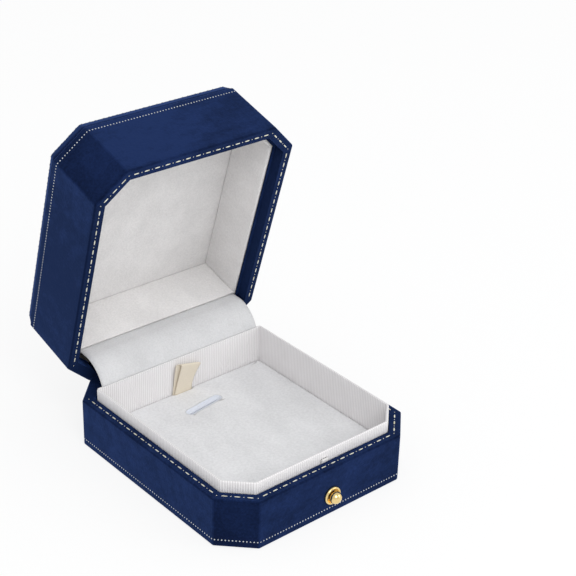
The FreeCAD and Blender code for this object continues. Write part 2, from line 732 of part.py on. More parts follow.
def make_hinge_spring():
    """Coil round the pin between the lid's knuckles, one leg down and one up, in flat-sided wire."""
    wire = 0.15
    mean = S["pin_radius"].value + 0.28
    half = S["lid_knuckle_in"].value - 0.4
    turns = 6
    helix = Part.makeHelix(2 * half / turns, 2 * half, mean)
    helix.translate(FreeCAD.Vector(0, 0, -half))
    start = FreeCAD.Vector(mean, 0, -half)
    finish = FreeCAD.Vector(mean, 0, half)
    tail = Part.makeLine(start - FreeCAD.Vector(0, 1.0, 0), start)
    tip = Part.makeLine(finish, finish + FreeCAD.Vector(0, 1.3, 0))
    path = Part.Wire([tail] + helix.Edges + [tip])
    section = [
        start + FreeCAD.Vector(wire * math.cos(math.radians(60 * i)), -1.0, wire * math.sin(math.radians(60 * i)))
        for i in range(7)
    ]
    coil = path.makePipeShell([Part.makePolygon(section)], True, False)
    spring = doc.addObject("Part::Feature", "hinge_spring")
    spring.Label = "hinge_spring"
    nodes.append(spring)
    spring.Shape = coil
    place(spring, 0.0, HINGE_Y, HINGE_Z, (1, 1, 1), 120.0)


def make_hinge_cover():
    """Suede strip curved about the hinge, from the collar to the lid lining."""
    body = new_body("hinge_cover")
    radius = S["cover_radius"]
    inner = radius - S["cover_thickness"]
    width = S["cover_half"] * 2
    loops = [ring_circle(0.0, 0.0, radius), ring_circle(0.0, 0.0, inner)]
    pad(body, loops, width, "YZ_Plane", middle=True)
    reach = radius + OVER * 2
    low = COLLAR_TOP + CLEAR - HINGE_Z
    cut_block(body, -width, width, -reach, reach, -reach, low)
    y = COLLAR_BACK + CLEAR - HINGE_Y
    z = RECESS_TOP - CLEAR * 2 - HINGE_Z
    end_y = (COS_OPEN * y + SIN_OPEN * z) * 2
    end_z = (COS_OPEN * z - SIN_OPEN * y) * 2
    wedge = [(0.0, 0.0), (end_y, end_z), (reach * 2, end_z), (reach * 2, 0.0)]
    pocket(body, [wedge], width * 2, "YZ_Plane", width)
    place(body, 0.0, HINGE_Y, HINGE_Z)


def make_lid_wrap():
    body = new_body("lid_wrap")
    thick = S["wrap_thickness"]
    inner = S["rim_width"] - thick
    rim_high = LID_RIM + thick
    start = LID_RIM - OVER
    make_rounded_block(body, LID_RIM, CREASE)
    pocket(body, [outline(LINING_SEAT - CLEAR, WALL_FACE)], SHELF - start, offset=start, along=True)
    pocket(body, [outline(S["rim_width"])], SHELF - thick - start, offset=start, along=True)
    pocket(body, [outline(thick), outline(inner)], SHELF - rim_high, offset=rim_high, along=True)
    pocket(body, [outline(thick)], CREASE - thick - SHELF, offset=SHELF, along=True)
    pocket(body, [outline(S["turn_in"])], thick * 2, offset=CREASE - thick, along=True)
    cut_block(body, -(LATCH_HALF + CLEAR), LATCH_HALF + CLEAR, -(STRIKE_SEAT + CLEAR),
              -(HALF_DEPTH - S["rim_width"] - CLEAR), STRIKE_LOW, STRIKE_TOP + CLEAR)
    open_lid(body)


def make_lid_core():
    body = new_body("lid_core")
    thick = S["wrap_thickness"]
    top = CREASE - thick
    low = LID_RIM + thick
    ceiling = CEILING + LINING_TOP
    pad(body, [outline(thick)], top - low, offset=low)
    pocket(body, [outline(S["rim_width"] - thick)], SHELF - low, offset=low, along=True)
    pocket(body, [outline(LINING_SEAT - CLEAR, WALL_FACE)], ceiling - SHELF, offset=SHELF, along=True)
    cut_block(body, -WINDOW_HALF, WINDOW_HALF, -(STRIKE_SEAT + ROOM), -(STRIKE_SEAT - OVER),
              WINDOW_LOW, WINDOW_TOP)
    make_pilot_holes(body, HINGE_Z + LID_RIVET_Z, LID_RIVET_X)
    open_lid(body)


def make_strike_plate():
    """Plate let into the lid's front wall, with a window for the latch hook."""
    body = new_body("strike_plate")
    face = -(STRIKE_SEAT - S["strike_thickness"])
    block(body, -LATCH_HALF, LATCH_HALF, -STRIKE_SEAT, face, STRIKE_LOW, STRIKE_TOP)
    cut_block(body, -WINDOW_HALF, WINDOW_HALF, -(STRIKE_SEAT + OVER), face + OVER, WINDOW_LOW, WINDOW_TOP)
    open_lid(body)


def crown_steps(skin):
    """Padded top: bevel, rounded shoulder and low crown, less a skin, as (inset, height)."""
    skin = as_size(skin)
    top = BEVEL - skin
    inset = skin + S["bevel_inset"]
    steps = [(inset + further, top + S["crown_rise"] * share) for further, share in CROWN_STEPS]
    return [(skin + BEVEL_FOOT, CREASE), (inset, top)] + steps


def make_crown(body, skin):
    """Plan block whose top is cut to the crown's profile from eight sides."""
    steps = crown_steps(skin)
    top = steps[-1][1]
    pad(body, [outline(steps[0][0])], top - CREASE, offset=CREASE)
    corner_half = (HALF_WIDTH + HALF_DEPTH - S["corner_cut"]) / math.sqrt(2)
    views = [
        ("XZ_Plane", HALF_WIDTH, 0.0), ("YZ_Plane", HALF_DEPTH, 0.0),
        ("XZ_Plane", corner_half, 45.0), ("XZ_Plane", corner_half, -45.0),
    ]
    for role, half, turn in views:
        loops = []
        for side in (-1, 1):
            loop = [((half - inset) * side, height) for inset, height in steps]
            loop += [((half - steps[-1][0]) * side, top + OVER), ((half + OVER) * side, top + OVER)]
            loop += [((half + OVER) * side, CREASE)]
            loops.append(loop)
        pocket(body, loops, HALF_DEPTH * 6, role, middle=True, turn=turn)
    open_lid(body)


def make_lid_foam():
    body = new_body("lid_foam")
    make_crown(body, S["wrap_thickness"])
    return body


def make_lid_cover(foam):
    """Leatherette skin over the foam: the outer crown less the foam's own shape."""
    crown = doc.addObject("PartDesign::Body", "lid_crown")
    make_crown(crown, 0.0)
    cover = doc.addObject("Part::Cut", "lid_cover")
    cover.Label = "lid_cover"
    cover.Base = crown
    cover.Tool = foam
    nodes.append(cover)
    doc.recompute()


def lining_corners(inset, back):
    """The six lining corners at an inset, from the left back round the front."""
    inset = as_size(inset)
    side = HALF_WIDTH - inset
    front = HALF_DEPTH - inset
    cut = S["corner_cut"] - inset * SHRINK
    return [
        (-side, back), (-side, -(front - cut)), (-(side - cut), -front),
        (side - cut, -front), (side, -(front - cut)), (side, back),
    ]


def make_linings():
    face = S["lining_inset"]
    glued = LINING_SEAT
    back = COLLAR_BACK
    low = RECESS_TOP
    height = CEILING - low
    inner = lining_corners(face, back)
    outer = lining_corners(glued, back)
    labels = ["lining_left", "lining_corner_left", "lining_front", "lining_corner_right", "lining_right"]
    for i, label in enumerate(labels):
        body = new_body(label)
        pad(body, [[inner[i], inner[i + 1], outer[i + 1], outer[i]]], height, offset=low)
        open_lid(body)
    body = new_body("lining_back")
    side = HALF_WIDTH - glued
    pad(body, [rectangle(-side, back, side, back + S["lining_thickness"])], height, offset=low)
    open_lid(body)
    body = new_body("lining_top")
    pad(body, [outline(glued, WALL_FACE - CLEAR)], LINING_TOP, offset=CEILING)
    open_lid(body)


def check_nodes():
    """Every object must be in order and every node one sound solid."""
    doc.recompute()
    for item in doc.Objects:
        if "Invalid" in item.State or "Error" in item.State:
            raise ValueError(f"{item.Name} is not in order")
    for body in nodes:
        shape = body.Shape
        if shape.isNull() or not shape.isValid() or shape.Volume <= 0:
            raise ValueError(f"{body.Label} has no sound shape")


make_base_sheet()
make_base_wrap()
make_base_core()
make_floor_liner()
make_collar()
make_pad_rest()
make_pad_board()
make_pad_cover()
make_ribbon_tab()
make_button_bezel()
make_button_knob()
make_return_spring()
make_latch_plate()
make_stem_washer()
make_hinge()
make_rivets("hinge_rivets_base", BASE_RIVET_Z, BASE_RIVET_X, False)
make_rivets("hinge_rivets_lid", LID_RIVET_Z, LID_RIVET_X, True)
make_hinge_spring()
make_hinge_cover()
make_lid_wrap()
make_lid_core()
make_strike_plate()
make_lid_cover(make_lid_foam())
make_linings()
check_nodes()

os.makedirs("parts", exist_ok=True)
for body in nodes:
    body.Shape.exportStep(f"parts/{body.Label}.step")
    print(body.Label, len(body.Shape.Solids), round(body.Shape.Volume, 1))
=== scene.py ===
import json
import math

import bmesh
import bpy
from mathutils import Matrix, Vector


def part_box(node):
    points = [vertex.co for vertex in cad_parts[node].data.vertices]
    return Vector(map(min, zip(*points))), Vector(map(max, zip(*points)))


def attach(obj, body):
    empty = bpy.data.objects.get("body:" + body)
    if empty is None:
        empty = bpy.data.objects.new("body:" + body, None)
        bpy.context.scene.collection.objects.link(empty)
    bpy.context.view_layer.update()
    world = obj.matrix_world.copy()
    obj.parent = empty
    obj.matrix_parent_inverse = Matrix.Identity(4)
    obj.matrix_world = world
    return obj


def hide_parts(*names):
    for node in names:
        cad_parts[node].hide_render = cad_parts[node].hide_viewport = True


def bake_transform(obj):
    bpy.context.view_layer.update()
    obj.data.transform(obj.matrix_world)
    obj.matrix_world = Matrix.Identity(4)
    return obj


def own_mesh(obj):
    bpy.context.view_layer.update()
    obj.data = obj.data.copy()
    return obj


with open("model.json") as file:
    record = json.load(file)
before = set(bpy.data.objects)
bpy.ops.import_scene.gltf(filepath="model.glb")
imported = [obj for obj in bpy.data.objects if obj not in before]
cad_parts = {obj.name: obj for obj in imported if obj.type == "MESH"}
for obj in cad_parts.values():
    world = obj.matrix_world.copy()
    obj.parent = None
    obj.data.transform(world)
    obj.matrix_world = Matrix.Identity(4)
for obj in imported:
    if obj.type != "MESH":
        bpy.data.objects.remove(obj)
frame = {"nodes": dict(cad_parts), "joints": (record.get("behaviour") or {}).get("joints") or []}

bl_info = {
    "name": "Pendant box finish",
    "version": (1, 0, 0),
    "blender": (4, 5, 0),
    "location": "View3D > Sidebar > Pendant Box",
    "description": "Leatherette, gilt tooling, linings and fittings of a chamfered pendant box",
    "category": "Object",
}

# The box stands at the origin, its button towards -Y, with the lid open at rest.
# Pieces of the lid are drawn with the lid closed and then turned open about the hinge.
# SKIN is the thickness of glued-on covers, SLOT_TURN how far the pad's slot lies askew.

MM = 0.001
ORIGIN = Vector((0, 0, 0))
UP = Vector((0, 0, 1))
SKIN = 0.45 * MM
SLOT_TURN = math.radians(8)
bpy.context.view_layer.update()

WRAP_LOW, WRAP_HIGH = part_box("base_wrap")
HALF_WIDTH = WRAP_HIGH.x
HALF_DEPTH = -WRAP_LOW.y
RIM = WRAP_HIGH.z
COLLAR_LOW, COLLAR_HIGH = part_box("collar")
BOARD_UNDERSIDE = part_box("pad_board")[0].z
PAD_LOW, PAD_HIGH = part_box("pad_cover")
RIBBON_LOW, RIBBON_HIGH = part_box("ribbon_tab")
TONGUE_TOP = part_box("latch_plate")[1].z
RING_LOW, RING_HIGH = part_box("button_bezel")
BUTTON_HEIGHT = (RING_LOW.z + RING_HIGH.z) / 2
HINGE_COVER_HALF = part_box("hinge_cover")[1].x

JOINTS = {joint["name"]: joint for joint in frame["joints"]}
LID_JOINT = JOINTS["lid_hinge"]
PRESS_JOINT = JOINTS["button_press"]
HINGE = Vector(LID_JOINT["pos_m"])
OPEN_ANGLE = math.radians(LID_JOINT["range_deg"][1])
OPEN = (
    Matrix.Translation(HINGE)
    @ Matrix.Rotation(-OPEN_ANGLE, 4, "X")
    @ Matrix.Translation(-HINGE)
)
CLOSED = OPEN.inverted()


def closed_box(node):
    """Lowest and highest corner of a lid node with the lid closed."""
    points = [CLOSED @ vertex.co for vertex in frame["nodes"][node].data.vertices]
    low = Vector(min(point[axis] for point in points) for axis in range(3))
    high = Vector(max(point[axis] for point in points) for axis in range(3))
    return low, high


LID_RIM = closed_box("lid_wrap")[0].z
CREASE = closed_box("lid_wrap")[1].z
CROWN = closed_box("lid_cover")[1].z
LINING_LOW = closed_box("lining_back")[0]


def length(name, description, millimetres):
    """A size that a user may change."""
    return bpy.props.FloatProperty(
        name=name, description=description, default=millimetres * MM, min=0, unit="LENGTH"
    )


def colour(name, description, value):
    """A colour that a user may change."""
    return bpy.props.FloatVectorProperty(
        name=name, description=description, default=value, size=3, min=0, max=1, subtype="COLOR"
    )


class BoxSizes(bpy.types.PropertyGroup):
    """Sizes that the frame doesn't give."""

    corner_cut: length("Corner cut", "Leg of each corner cut in the plan", 10.3)
    bevel_foot: length("Bevel foot", "Foot of the top's bevel to the outside", 0.35)
    bevel_inset: length("Bevel inset", "Top edge of the bevel to the outside", 1.7)
    bevel_rise: length("Bevel rise", "Height of the bevel", 3.2)
    bead_pitch: length("Bead pitch", "Beads along the tooled lines", 1.15)
    bead_width: length("Bead width", "Diameter of one bead", 0.5)
    base_line: length("Base bead line", "Bead line above the underside", 2.95)
    lid_line: length("Lid bead line", "Bead line below the crease of the lid", 2.3)
    stitch_pitch: length("Stitch pitch", "Dash and dot together", 4.0)
    stitch_length: length("Stitch length", "One dash", 1.8)
    stitch_width: length("Stitch width", "Width of a dash", 0.5)
    stitch_inset: length("Stitch inset", "Stitch line to the outside", 2.15)
    chevron_pitch: length("Chevron pitch", "Chevrons along the border", 5.35)
    chevron_half: length("Chevron half width", "Half of a chevron's foot", 1.8)
    chevron_rise: length("Chevron rise", "Foot to apex", 2.15)
    rib_pitch: length("Rib pitch", "Ribs of the collar", 0.8)
    rib_depth: length("Rib depth", "Rib above its groove", 0.22)
    collar_thickness: length("Collar thickness", "Ribbed card", 0.8)
    tongue_room: length("Tongue room", "Half of the collar's recess behind the latch tongue", 1.45)
    pad_round: length("Pad round", "Rounding of the pad's edge", 0.8)
    slot_length: length("Slot length", "Slot in the pad, end to end", 15.7)
    slot_width: length("Slot width", "Slot in the pad", 2.9)
    slit_width: length("Slit width", "Slit along the bottom of the slot", 0.6)
    slot_back: length("Slot place", "Slot centre behind the middle", 20.6)
    ribbon_slant: length("Ribbon slant", "Fall of the ribbon's fold over half its width", 1.0)
    lining_round: length("Lining round", "Rounding of the padded linings", 0.45)


class BoxColours(bpy.types.PropertyGroup):
    """Colours of the finishes."""

    # The painted shade of the leatherette also mixes towards the deep blue.
    blue_deep: colour("Deep blue", "Leatherette with the nap laid down", (0.0010, 0.0042, 0.021))
    blue_light: colour("Light blue", "Leatherette with the nap raised", (0.0060, 0.0165, 0.068))
    foil: colour("Foil", "Stamped gilt foil", (0.78, 0.77, 0.65))
    beads: colour("Beads", "Paler foil of the bead lines", (0.64, 0.66, 0.66))
    brass: colour("Brass", "Polished button", (0.87, 0.66, 0.30))
    suede: colour("White suede", "Pad", (0.775, 0.775, 0.785))
    # The hinge cover is the pad's white suede, made darker here as painted shade.
    cover: colour("Hinge cover", "Suede of the hinge cover", (0.66, 0.66, 0.67))
    lining: colour("Lid lining", "Suede of the lid", (0.755, 0.74, 0.735))
    card: colour("Ribbed card", "Collar", (0.84, 0.825, 0.83))
    # Painted shade for the grooves between the collar's ribs.
    groove_shade: colour("Card groove", "Grooves between the collar's ribs", (0.52, 0.49, 0.49))
    ribbon: colour("Ribbon", "Cream ribbon", (0.78, 0.70, 0.57))


def sizes():
    return bpy.context.scene.box_sizes


def colours():
    return bpy.context.scene.box_colours


def scaled(shade, share):
    """A colour made darker or lighter."""
    return tuple(min(1.0, part * share) for part in shade)


class Value:
    """A socket that does sums: each operator adds its Math node."""

    def __init__(self, nodes, socket):
        self.nodes = nodes
        self.socket = socket

    def math(self, operation, first, second):
        return self.nodes.add("ShaderNodeMath", {"operation": operation}, {0: first, 1: second})

    def __add__(self, other):
        return self.math("ADD", self, other)

    def __radd__(self, other):
        return self.math("ADD", other, self)

    def __sub__(self, other):
        return self.math("SUBTRACT", self, other)

    def __rsub__(self, other):
        return self.math("SUBTRACT", other, self)

    def __mul__(self, other):
        return self.math("MULTIPLY", self, other)

    def __abs__(self):
        return self.math("ABSOLUTE", self, 0.0)

    def held(self):
        """Held between 0 and 1."""
        return self.nodes.add("ShaderNodeClamp", None, {0: self})


class Nodes:
    """A node tree being filled."""

    def __init__(self, tree, output):
        self.tree = tree
        self.tree.nodes.clear()
        self.output = self.tree.nodes.new(output)

    def add(self, kind, settings=None, inputs=None, output=0):
        """Add a node: settings come first, then the values or links of its sockets."""
        made = self.tree.nodes.new(kind)
        for name, setting in (settings or {}).items():
            setattr(made, name, setting)
        for name, value in (inputs or {}).items():
            self.feed(made.inputs[name], value)
        return Value(self, made.outputs[output])

    def feed(self, socket, value):
        if isinstance(value, Value):
            self.tree.links.new(value.socket, socket)
        elif socket.type == "RGBA" and len(value) == 3:
            socket.default_value = (*value, 1.0)
        else:
            socket.default_value = value

    def rays(self, kind):
        """1 for one kind of ray."""
        return self.add("ShaderNodeLightPath", output=kind)

    def show(self, share, first, second):
        """Give the output a mix of two shaders."""
        mixed = self.add("ShaderNodeMixShader", None, {0: share, 1: first, 2: second})
        self.feed(self.output.inputs[0], mixed)


class Finish(Nodes):
    """A material being mixed: its node tree and its Principled shader."""

    def __init__(self, name):
        self.material = bpy.data.materials.new("finish_" + name)
        self.material.use_nodes = True
        super().__init__(self.material.node_tree, "ShaderNodeOutputMaterial")
        self.shader = self.tree.nodes.new("ShaderNodeBsdfPrincipled")
        self.tree.links.new(self.shader.outputs[0], self.output.inputs[0])

    def surface(self, **inputs):
        """Set the shader's sockets, named with underscores for spaces."""
        for name, value in inputs.items():
            self.feed(self.shader.inputs[name.replace("_", " ")], value)
        return self.material

    def mapped(self, vector, **inputs):
        """A vector after a Mapping node's Location, Rotation and Scale."""
        return self.add("ShaderNodeMapping", None, {"Vector": vector, **inputs})

    def millimetres(self, stretch=(1, 1, 1), turn=(0, 0, 0)):
        """Object coordinates in millimetres, with an optional stretch and turn."""
        place = self.add("ShaderNodeTexCoord", output="Object")
        return self.mapped(place, Scale=tuple(share / MM for share in stretch), Rotation=turn)

    def as_closed(self):
        """Object coordinates of a lid piece in millimetres, as they are with the lid closed."""
        place = self.add("ShaderNodeTexCoord", output="Object")
        turn, shift = CLOSED.to_euler(), CLOSED.translation / MM
        return self.mapped(place, Scale=(1 / MM, 1 / MM, 1 / MM), Rotation=turn, Location=shift)

    def part(self, vector, axis):
        """One coordinate of a vector."""
        return self.add("ShaderNodeSeparateXYZ", None, {0: vector}, output=axis)

    def spot(self, place, centre, radius):
        """1 at a centre, falling to 0 at a radius, both in millimetres."""
        inputs = {0: place, 1: centre}
        away = self.add("ShaderNodeVectorMath", {"operation": "DISTANCE"}, inputs, output="Value")
        return (1.0 - away * (1 / radius)).held()

    def kept_shade(self):
        """The number that loft kept on each vertex."""
        return self.add("ShaderNodeAttribute", {"attribute_name": "shade"}, output="Fac")

    def noise(self, place, size, detail=2.0, roughness=0.5):
        """Noise about 0.5 whose features are about size millimetres wide."""
        inputs = {"Vector": place, "Scale": 1 / size, "Detail": detail, "Roughness": roughness}
        return self.add("ShaderNodeTexNoise", None, inputs)

    def ramp(self, value, low, high):
        """Spread a stretch of a value over 0 to 1."""
        made = self.tree.nodes.new("ShaderNodeValToRGB")
        for element, place in zip(made.color_ramp.elements, (low, high)):
            element.position = place
        self.feed(made.inputs["Fac"], value)
        return Value(self, made.outputs["Color"])

    def mix(self, share, first, second):
        inputs = {0: share, 6: first, 7: second}
        return self.add("ShaderNodeMix", {"data_type": "RGBA"}, inputs, output=2)

    def bump(self, height, depth, strength):
        """Bump of a given depth in millimetres."""
        inputs = {"Height": height, "Distance": depth * MM, "Strength": strength}
        return self.add("ShaderNodeBump", None, inputs, output="Normal")


def leatherette(name, lid, light_and_shade_spots):
    """Suede-touch leatherette: clouds of raised nap, brushed strokes and a fine grain.

    Painted shade darkens the corner cuts, a band along the rim and the turned-in edge; the corner cuts also
    have fainter strokes.
    Each spot is a painted patch of light or shade: centre with the lid closed, radius and how much lighter.
    """
    stroke_weight, mottle_weight, nap_weight = 1.6, 0.7, 1.3
    corner_fade = 6.0
    turned_in_reach = 30
    rim_reach = 1.8
    # The band of painted shade along the rim is deeper on the lid.
    rim, rim_shade_weight = (LID_RIM, 0.4) if lid else (RIM, 0.15)

    finish = Finish(name)
    place = finish.as_closed() if lid else finish.millimetres()
    swept = finish.mapped(place, Scale=(0.35, 1.0, 1.0), Rotation=(0.4, 0.3, 0.6))
    clouds = finish.noise(place, 24.0)
    strokes = finish.noise(swept, 5.0, 3.0, 0.6)
    mottle = finish.noise(place, 2.6, 2.0, 0.6)
    nap = finish.noise(place, 0.8, 3.0, 0.65)
    facing = finish.part(finish.add("ShaderNodeTexCoord", output="Normal"), "X")
    # The masks below pick out the corner cuts, walls facing into the box and a band along the rim, where
    # painted shade darkens the leatherette.
    corner = (1.0 - abs(abs(facing) - math.sqrt(0.5)) * corner_fade).held()
    turn_in_shade = (facing * finish.part(place, "X") * (-1 / turned_in_reach)).held()
    rim_shade = (1.0 - abs(finish.part(place, "Z") - rim / MM) * (1 / rim_reach)).held()

    brushed = strokes * stroke_weight + mottle * mottle_weight - (stroke_weight + mottle_weight) / 2
    tone = clouds + brushed * (1.0 - corner * 0.6) + nap * nap_weight - nap_weight / 2
    # Painted shade on the corner cuts, on the turned-in edge and along the rim.
    tone = tone - corner * 0.35 - turn_in_shade * 0.8 - rim_shade * rim_shade_weight
    # Each spot paints a patch of light or shade.
    for centre, radius, lift in light_and_shade_spots:
        tone = tone + finish.spot(place, centre, radius) * lift
    shade = finish.mix(tone, colours().blue_deep, colours().blue_light)
    grain = nap * 0.7 + finish.noise(place, 1.4) * 0.3
    return finish.surface(
        Base_Color=shade, Roughness=0.86 - tone * 0.12, Specular_IOR_Level=0.06,
        Sheen_Weight=0.30, Sheen_Roughness=0.5, Sheen_Tint=(0.13, 0.30, 0.95),
        Normal=finish.bump(grain, 0.10, 0.8),
    )


def foil(name, shade, worn):
    """Stamped foil, a little patchy where it took unevenly."""
    finish = Finish(name)
    place = finish.millimetres()
    patches = finish.noise(place, 1.3, 3.0)
    return finish.surface(
        Base_Color=finish.mix(finish.ramp(patches, 0.28, 0.55), worn, shade),
        Metallic=0.3, Roughness=0.30 + patches * 0.25,
        Normal=finish.bump(finish.noise(place, 0.25), 0.03, 0.5),
    )


def polished_brass():
    """Gilt brass with faint turning marks and a few dull specks."""
    finish = Finish("polished_brass")
    turning = finish.noise(finish.millimetres((0.3, 9.0, 0.3)), 0.6)
    specks = finish.ramp(finish.noise(finish.millimetres(), 0.5, 3.0), 0.55, 0.75)
    return finish.surface(
        Base_Color=finish.mix(specks, colours().brass, (0.72, 0.50, 0.20)),
        Metallic=1.0, Roughness=0.10 + turning * 0.14, Normal=finish.bump(turning, 0.01, 0.3),
    )


def suede(name, shade, size, edge=None):
    """White short-napped suede: pebbled pile with faint brushed patches.

    edge is the colour of cut walls, where the kept shade is 1. Halfway to it lies a greyer line of painted
    shade.
    """
    finish = Finish(name)
    pile = finish.noise(finish.millimetres(), size, 3.0, 0.6)
    brushed = finish.noise(finish.millimetres((1.0, 0.5, 1.0), (0, 0, 0.5)), 9.0, 3.0)
    tone = finish.ramp(pile * 0.55 + brushed * 0.45, 0.35, 0.65)
    nap = finish.mix(tone, scaled(shade, 0.90), scaled(shade, 1.06))
    if edge:
        cut = finish.kept_shade()
        # Painted shade: a greyer line where the kept shade is a half, along the lip of a cut.
        lip_shade = 1.0 - abs(cut * 2.0 - 1.0)
        nap = finish.mix(lip_shade * 0.8, finish.mix(cut, nap, edge), scaled(shade, 0.72))
    return finish.surface(
        Base_Color=nap, Roughness=0.95 - brushed * 0.1,
        Specular_IOR_Level=0.15, Sheen_Weight=0.15, Sheen_Roughness=0.5,
        Normal=finish.bump(pile, 0.24, 0.9),
    )


def ribbed_card():
    """White card faced with ribbed cloth; its ribs are in the mesh, with painted shade in their grooves."""
    finish = Finish("ribbed_card")
    weave = finish.noise(finish.millimetres((1.0, 1.0, 5.0)), 0.7)
    patches = finish.noise(finish.millimetres(), 12.0)
    tone = finish.ramp(weave * 0.4 + patches * 0.6, 0.35, 0.65)
    shade = finish.mix(tone, scaled(colours().card, 0.93), colours().card)
    # Painted shade darkens the grooves between the ribs.
    groove_shade = finish.kept_shade()
    return finish.surface(
        Base_Color=finish.mix(groove_shade * groove_shade * 0.5, shade, colours().groove_shade),
        Roughness=0.75 + weave * 0.15, Specular_IOR_Level=0.2, Normal=finish.bump(weave, 0.04, 0.5),
    )


def satin_ribbon():
    """Cream ribbon with fine cross ribs and a soft sheen."""
    finish = Finish("satin_ribbon")
    across = finish.part(finish.add("ShaderNodeTexCoord", output="UV"), "Y")
    threads = finish.add("ShaderNodeMath", {"operation": "SINE"}, {0: across * 520.0})
    fleck = finish.noise(finish.millimetres(), 0.8, 3.0)
    tone = fleck * 0.7 + threads * 0.15 + 0.15
    return finish.surface(
        Base_Color=finish.mix(tone, scaled(colours().ribbon, 0.86), colours().ribbon),
        Roughness=0.48 + fleck * 0.2, Sheen_Weight=0.2, Sheen_Roughness=0.4,
        Normal=finish.bump(threads * 0.5 + 0.5, 0.03, 0.4),
    )


def flocked_paper():
    """Black paper under the base, flocked and dusty."""
    finish = Finish("flocked_paper")
    place = finish.millimetres()
    flock = finish.noise(place, 0.4, 3.0, 0.7)
    dust = finish.ramp(finish.noise(place, 6.0, 4.0), 0.5, 0.8)
    return finish.surface(
        Base_Color=finish.mix(dust, (0.020, 0.021, 0.026), (0.050, 0.050, 0.055)),
        Roughness=0.9 + flock * 0.1, Normal=finish.bump(flock, 0.08, 0.7),
    )


def board(name, shade, fibre):
    """Plain board, foam or moulded core with a mottled, fibrous face."""
    finish = Finish(name)
    mottle = finish.noise(finish.millimetres(), 5.0, 3.0)
    fibres = finish.noise(finish.millimetres((1.0, 0.25, 1.0), (0, 0, 0.3)), fibre, 3.0)
    return finish.surface(
        Base_Color=finish.mix(mottle * 0.6 + fibres * 0.4, scaled(shade, 0.88), shade),
        Roughness=0.75 + fibres * 0.2, Specular_IOR_Level=0.25, Normal=finish.bump(fibres, 0.05, 0.5),
    )


def plated_steel(name, shade, rough):
    """Drawn or plated steel with brushed lines and dulled patches."""
    finish = Finish(name)
    lines = finish.noise(finish.millimetres((0.2, 6.0, 6.0)), 0.5, 3.0)
    dull = finish.ramp(finish.noise(finish.millimetres(), 3.0, 3.0), 0.45, 0.7)
    return finish.surface(
        Base_Color=finish.mix(dull, shade, scaled(shade, 0.75)),
        Metallic=1.0, Roughness=rough + lines * 0.2, Normal=finish.bump(lines, 0.01, 0.4),
    )


def plan(inset, corner_cut):
    """Corners of the chamfered plan at an inset, anticlockwise from the front left."""
    side = HALF_WIDTH - inset
    front = HALF_DEPTH - inset
    cut = corner_cut - inset * (2 - math.sqrt(2))
    return [
        Vector((-(side - cut), -front, 0)), Vector((side - cut, -front, 0)),
        Vector((side, -(front - cut), 0)), Vector((side, front - cut, 0)),
        Vector((side - cut, front, 0)), Vector((-(side - cut), front, 0)),
        Vector((-side, front - cut, 0)), Vector((-side, -(front - cut), 0)),
    ]


def tray_plan(inset, back, corner_cut):
    """The plan with cut front corners and square back corners."""
    corners = plan(inset, corner_cut)
    side = HALF_WIDTH - inset
    return corners[:3] + [Vector((side, back, 0)), Vector((-side, back, 0))] + corners[7:]


def rounded(corners, radius, steps=5):
    """A closed outline with each corner turned into an arc."""
    points = []
    for i, corner in enumerate(corners):
        before = (corners[i - 1] - corner).normalized()
        after = (corners[(i + 1) % len(corners)] - corner).normalized()
        half = before.angle(after) / 2
        centre = corner + (before + after).normalized() * radius / math.sin(half)
        start = (corner + before * radius / math.tan(half) - centre).normalized()
        finish = (corner + after * radius / math.tan(half) - centre).normalized()
        points += [centre + start.slerp(finish, step / steps) * radius for step in range(steps + 1)]
    return points


def evenly(points, count):
    """Points of a closed outline at even steps, each with its outward normal."""
    ends = points[1:] + points[:1]
    runs = [(end - start).length for start, end in zip(points, ends)]
    step = sum(runs) / count
    placed = []
    i = 0
    passed = 0.0
    for index in range(count):
        target = index * step
        while passed + runs[i] < target:
            passed += runs[i]
            i += 1
        heading = (ends[i] - points[i]).normalized()
        placed.append((points[i] + heading * (target - passed), heading))
    result = []
    for i, (point, heading) in enumerate(placed):
        mean = (heading + placed[i - 1][1]).normalized()
        result.append((point, Vector((mean.y, -mean.x, 0))))
    return result


def along_sides(corners, pitch, phase=0.5, fitted=True):
    """Places along each side of an outline: point, heading and outward normal.

    The pitch is fitted to each side, or else kept, with what is left over shared by the two ends.
    """
    for start, end in zip(corners, corners[1:] + corners[:1]):
        run = end - start
        count = max(1, round(run.length / pitch) if fitted else int(run.length / pitch))
        step = run.length / count if fitted else pitch
        first = (run.length - count * step) / 2
        heading = run.normalized()
        outward = Vector((heading.y, -heading.x, 0))
        for i in range(count):
            away = 0.0 if i + phase == 0 else first + (i + phase) * step
            yield start + heading * away, heading, outward


def add_object(name, bm, material):
    """Turn a bmesh into an object of the scene."""
    mesh = bpy.data.meshes.new(name)
    bm.to_mesh(mesh)
    bm.free()
    mesh.materials.append(material)
    item = bpy.data.objects.new(name, mesh)
    bpy.context.scene.collection.objects.link(item)
    return item


def made(name):
    """A finish that has been mixed."""
    return bpy.data.materials["finish_" + name]


def make_piece(name, bm, body, finish, turn=None):
    """Turn a bmesh into a smooth piece that rides on a body, if one is named.

    turn is OPEN for a piece that was drawn with the lid closed.
    """
    if turn is not None:
        bmesh.ops.transform(bm, matrix=turn, verts=bm.verts)
    piece = add_object(name, bm, made(finish))
    piece.data.shade_smooth()
    if body:
        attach(piece, body)
    return piece


def face_outwards(bm):
    bmesh.ops.recalc_face_normals(bm, faces=bm.faces)


def thicken(bm):
    """Give an open skin its thickness."""
    face_outwards(bm)
    bmesh.ops.solidify(bm, geom=bm.faces[:], thickness=SKIN)
    face_outwards(bm)


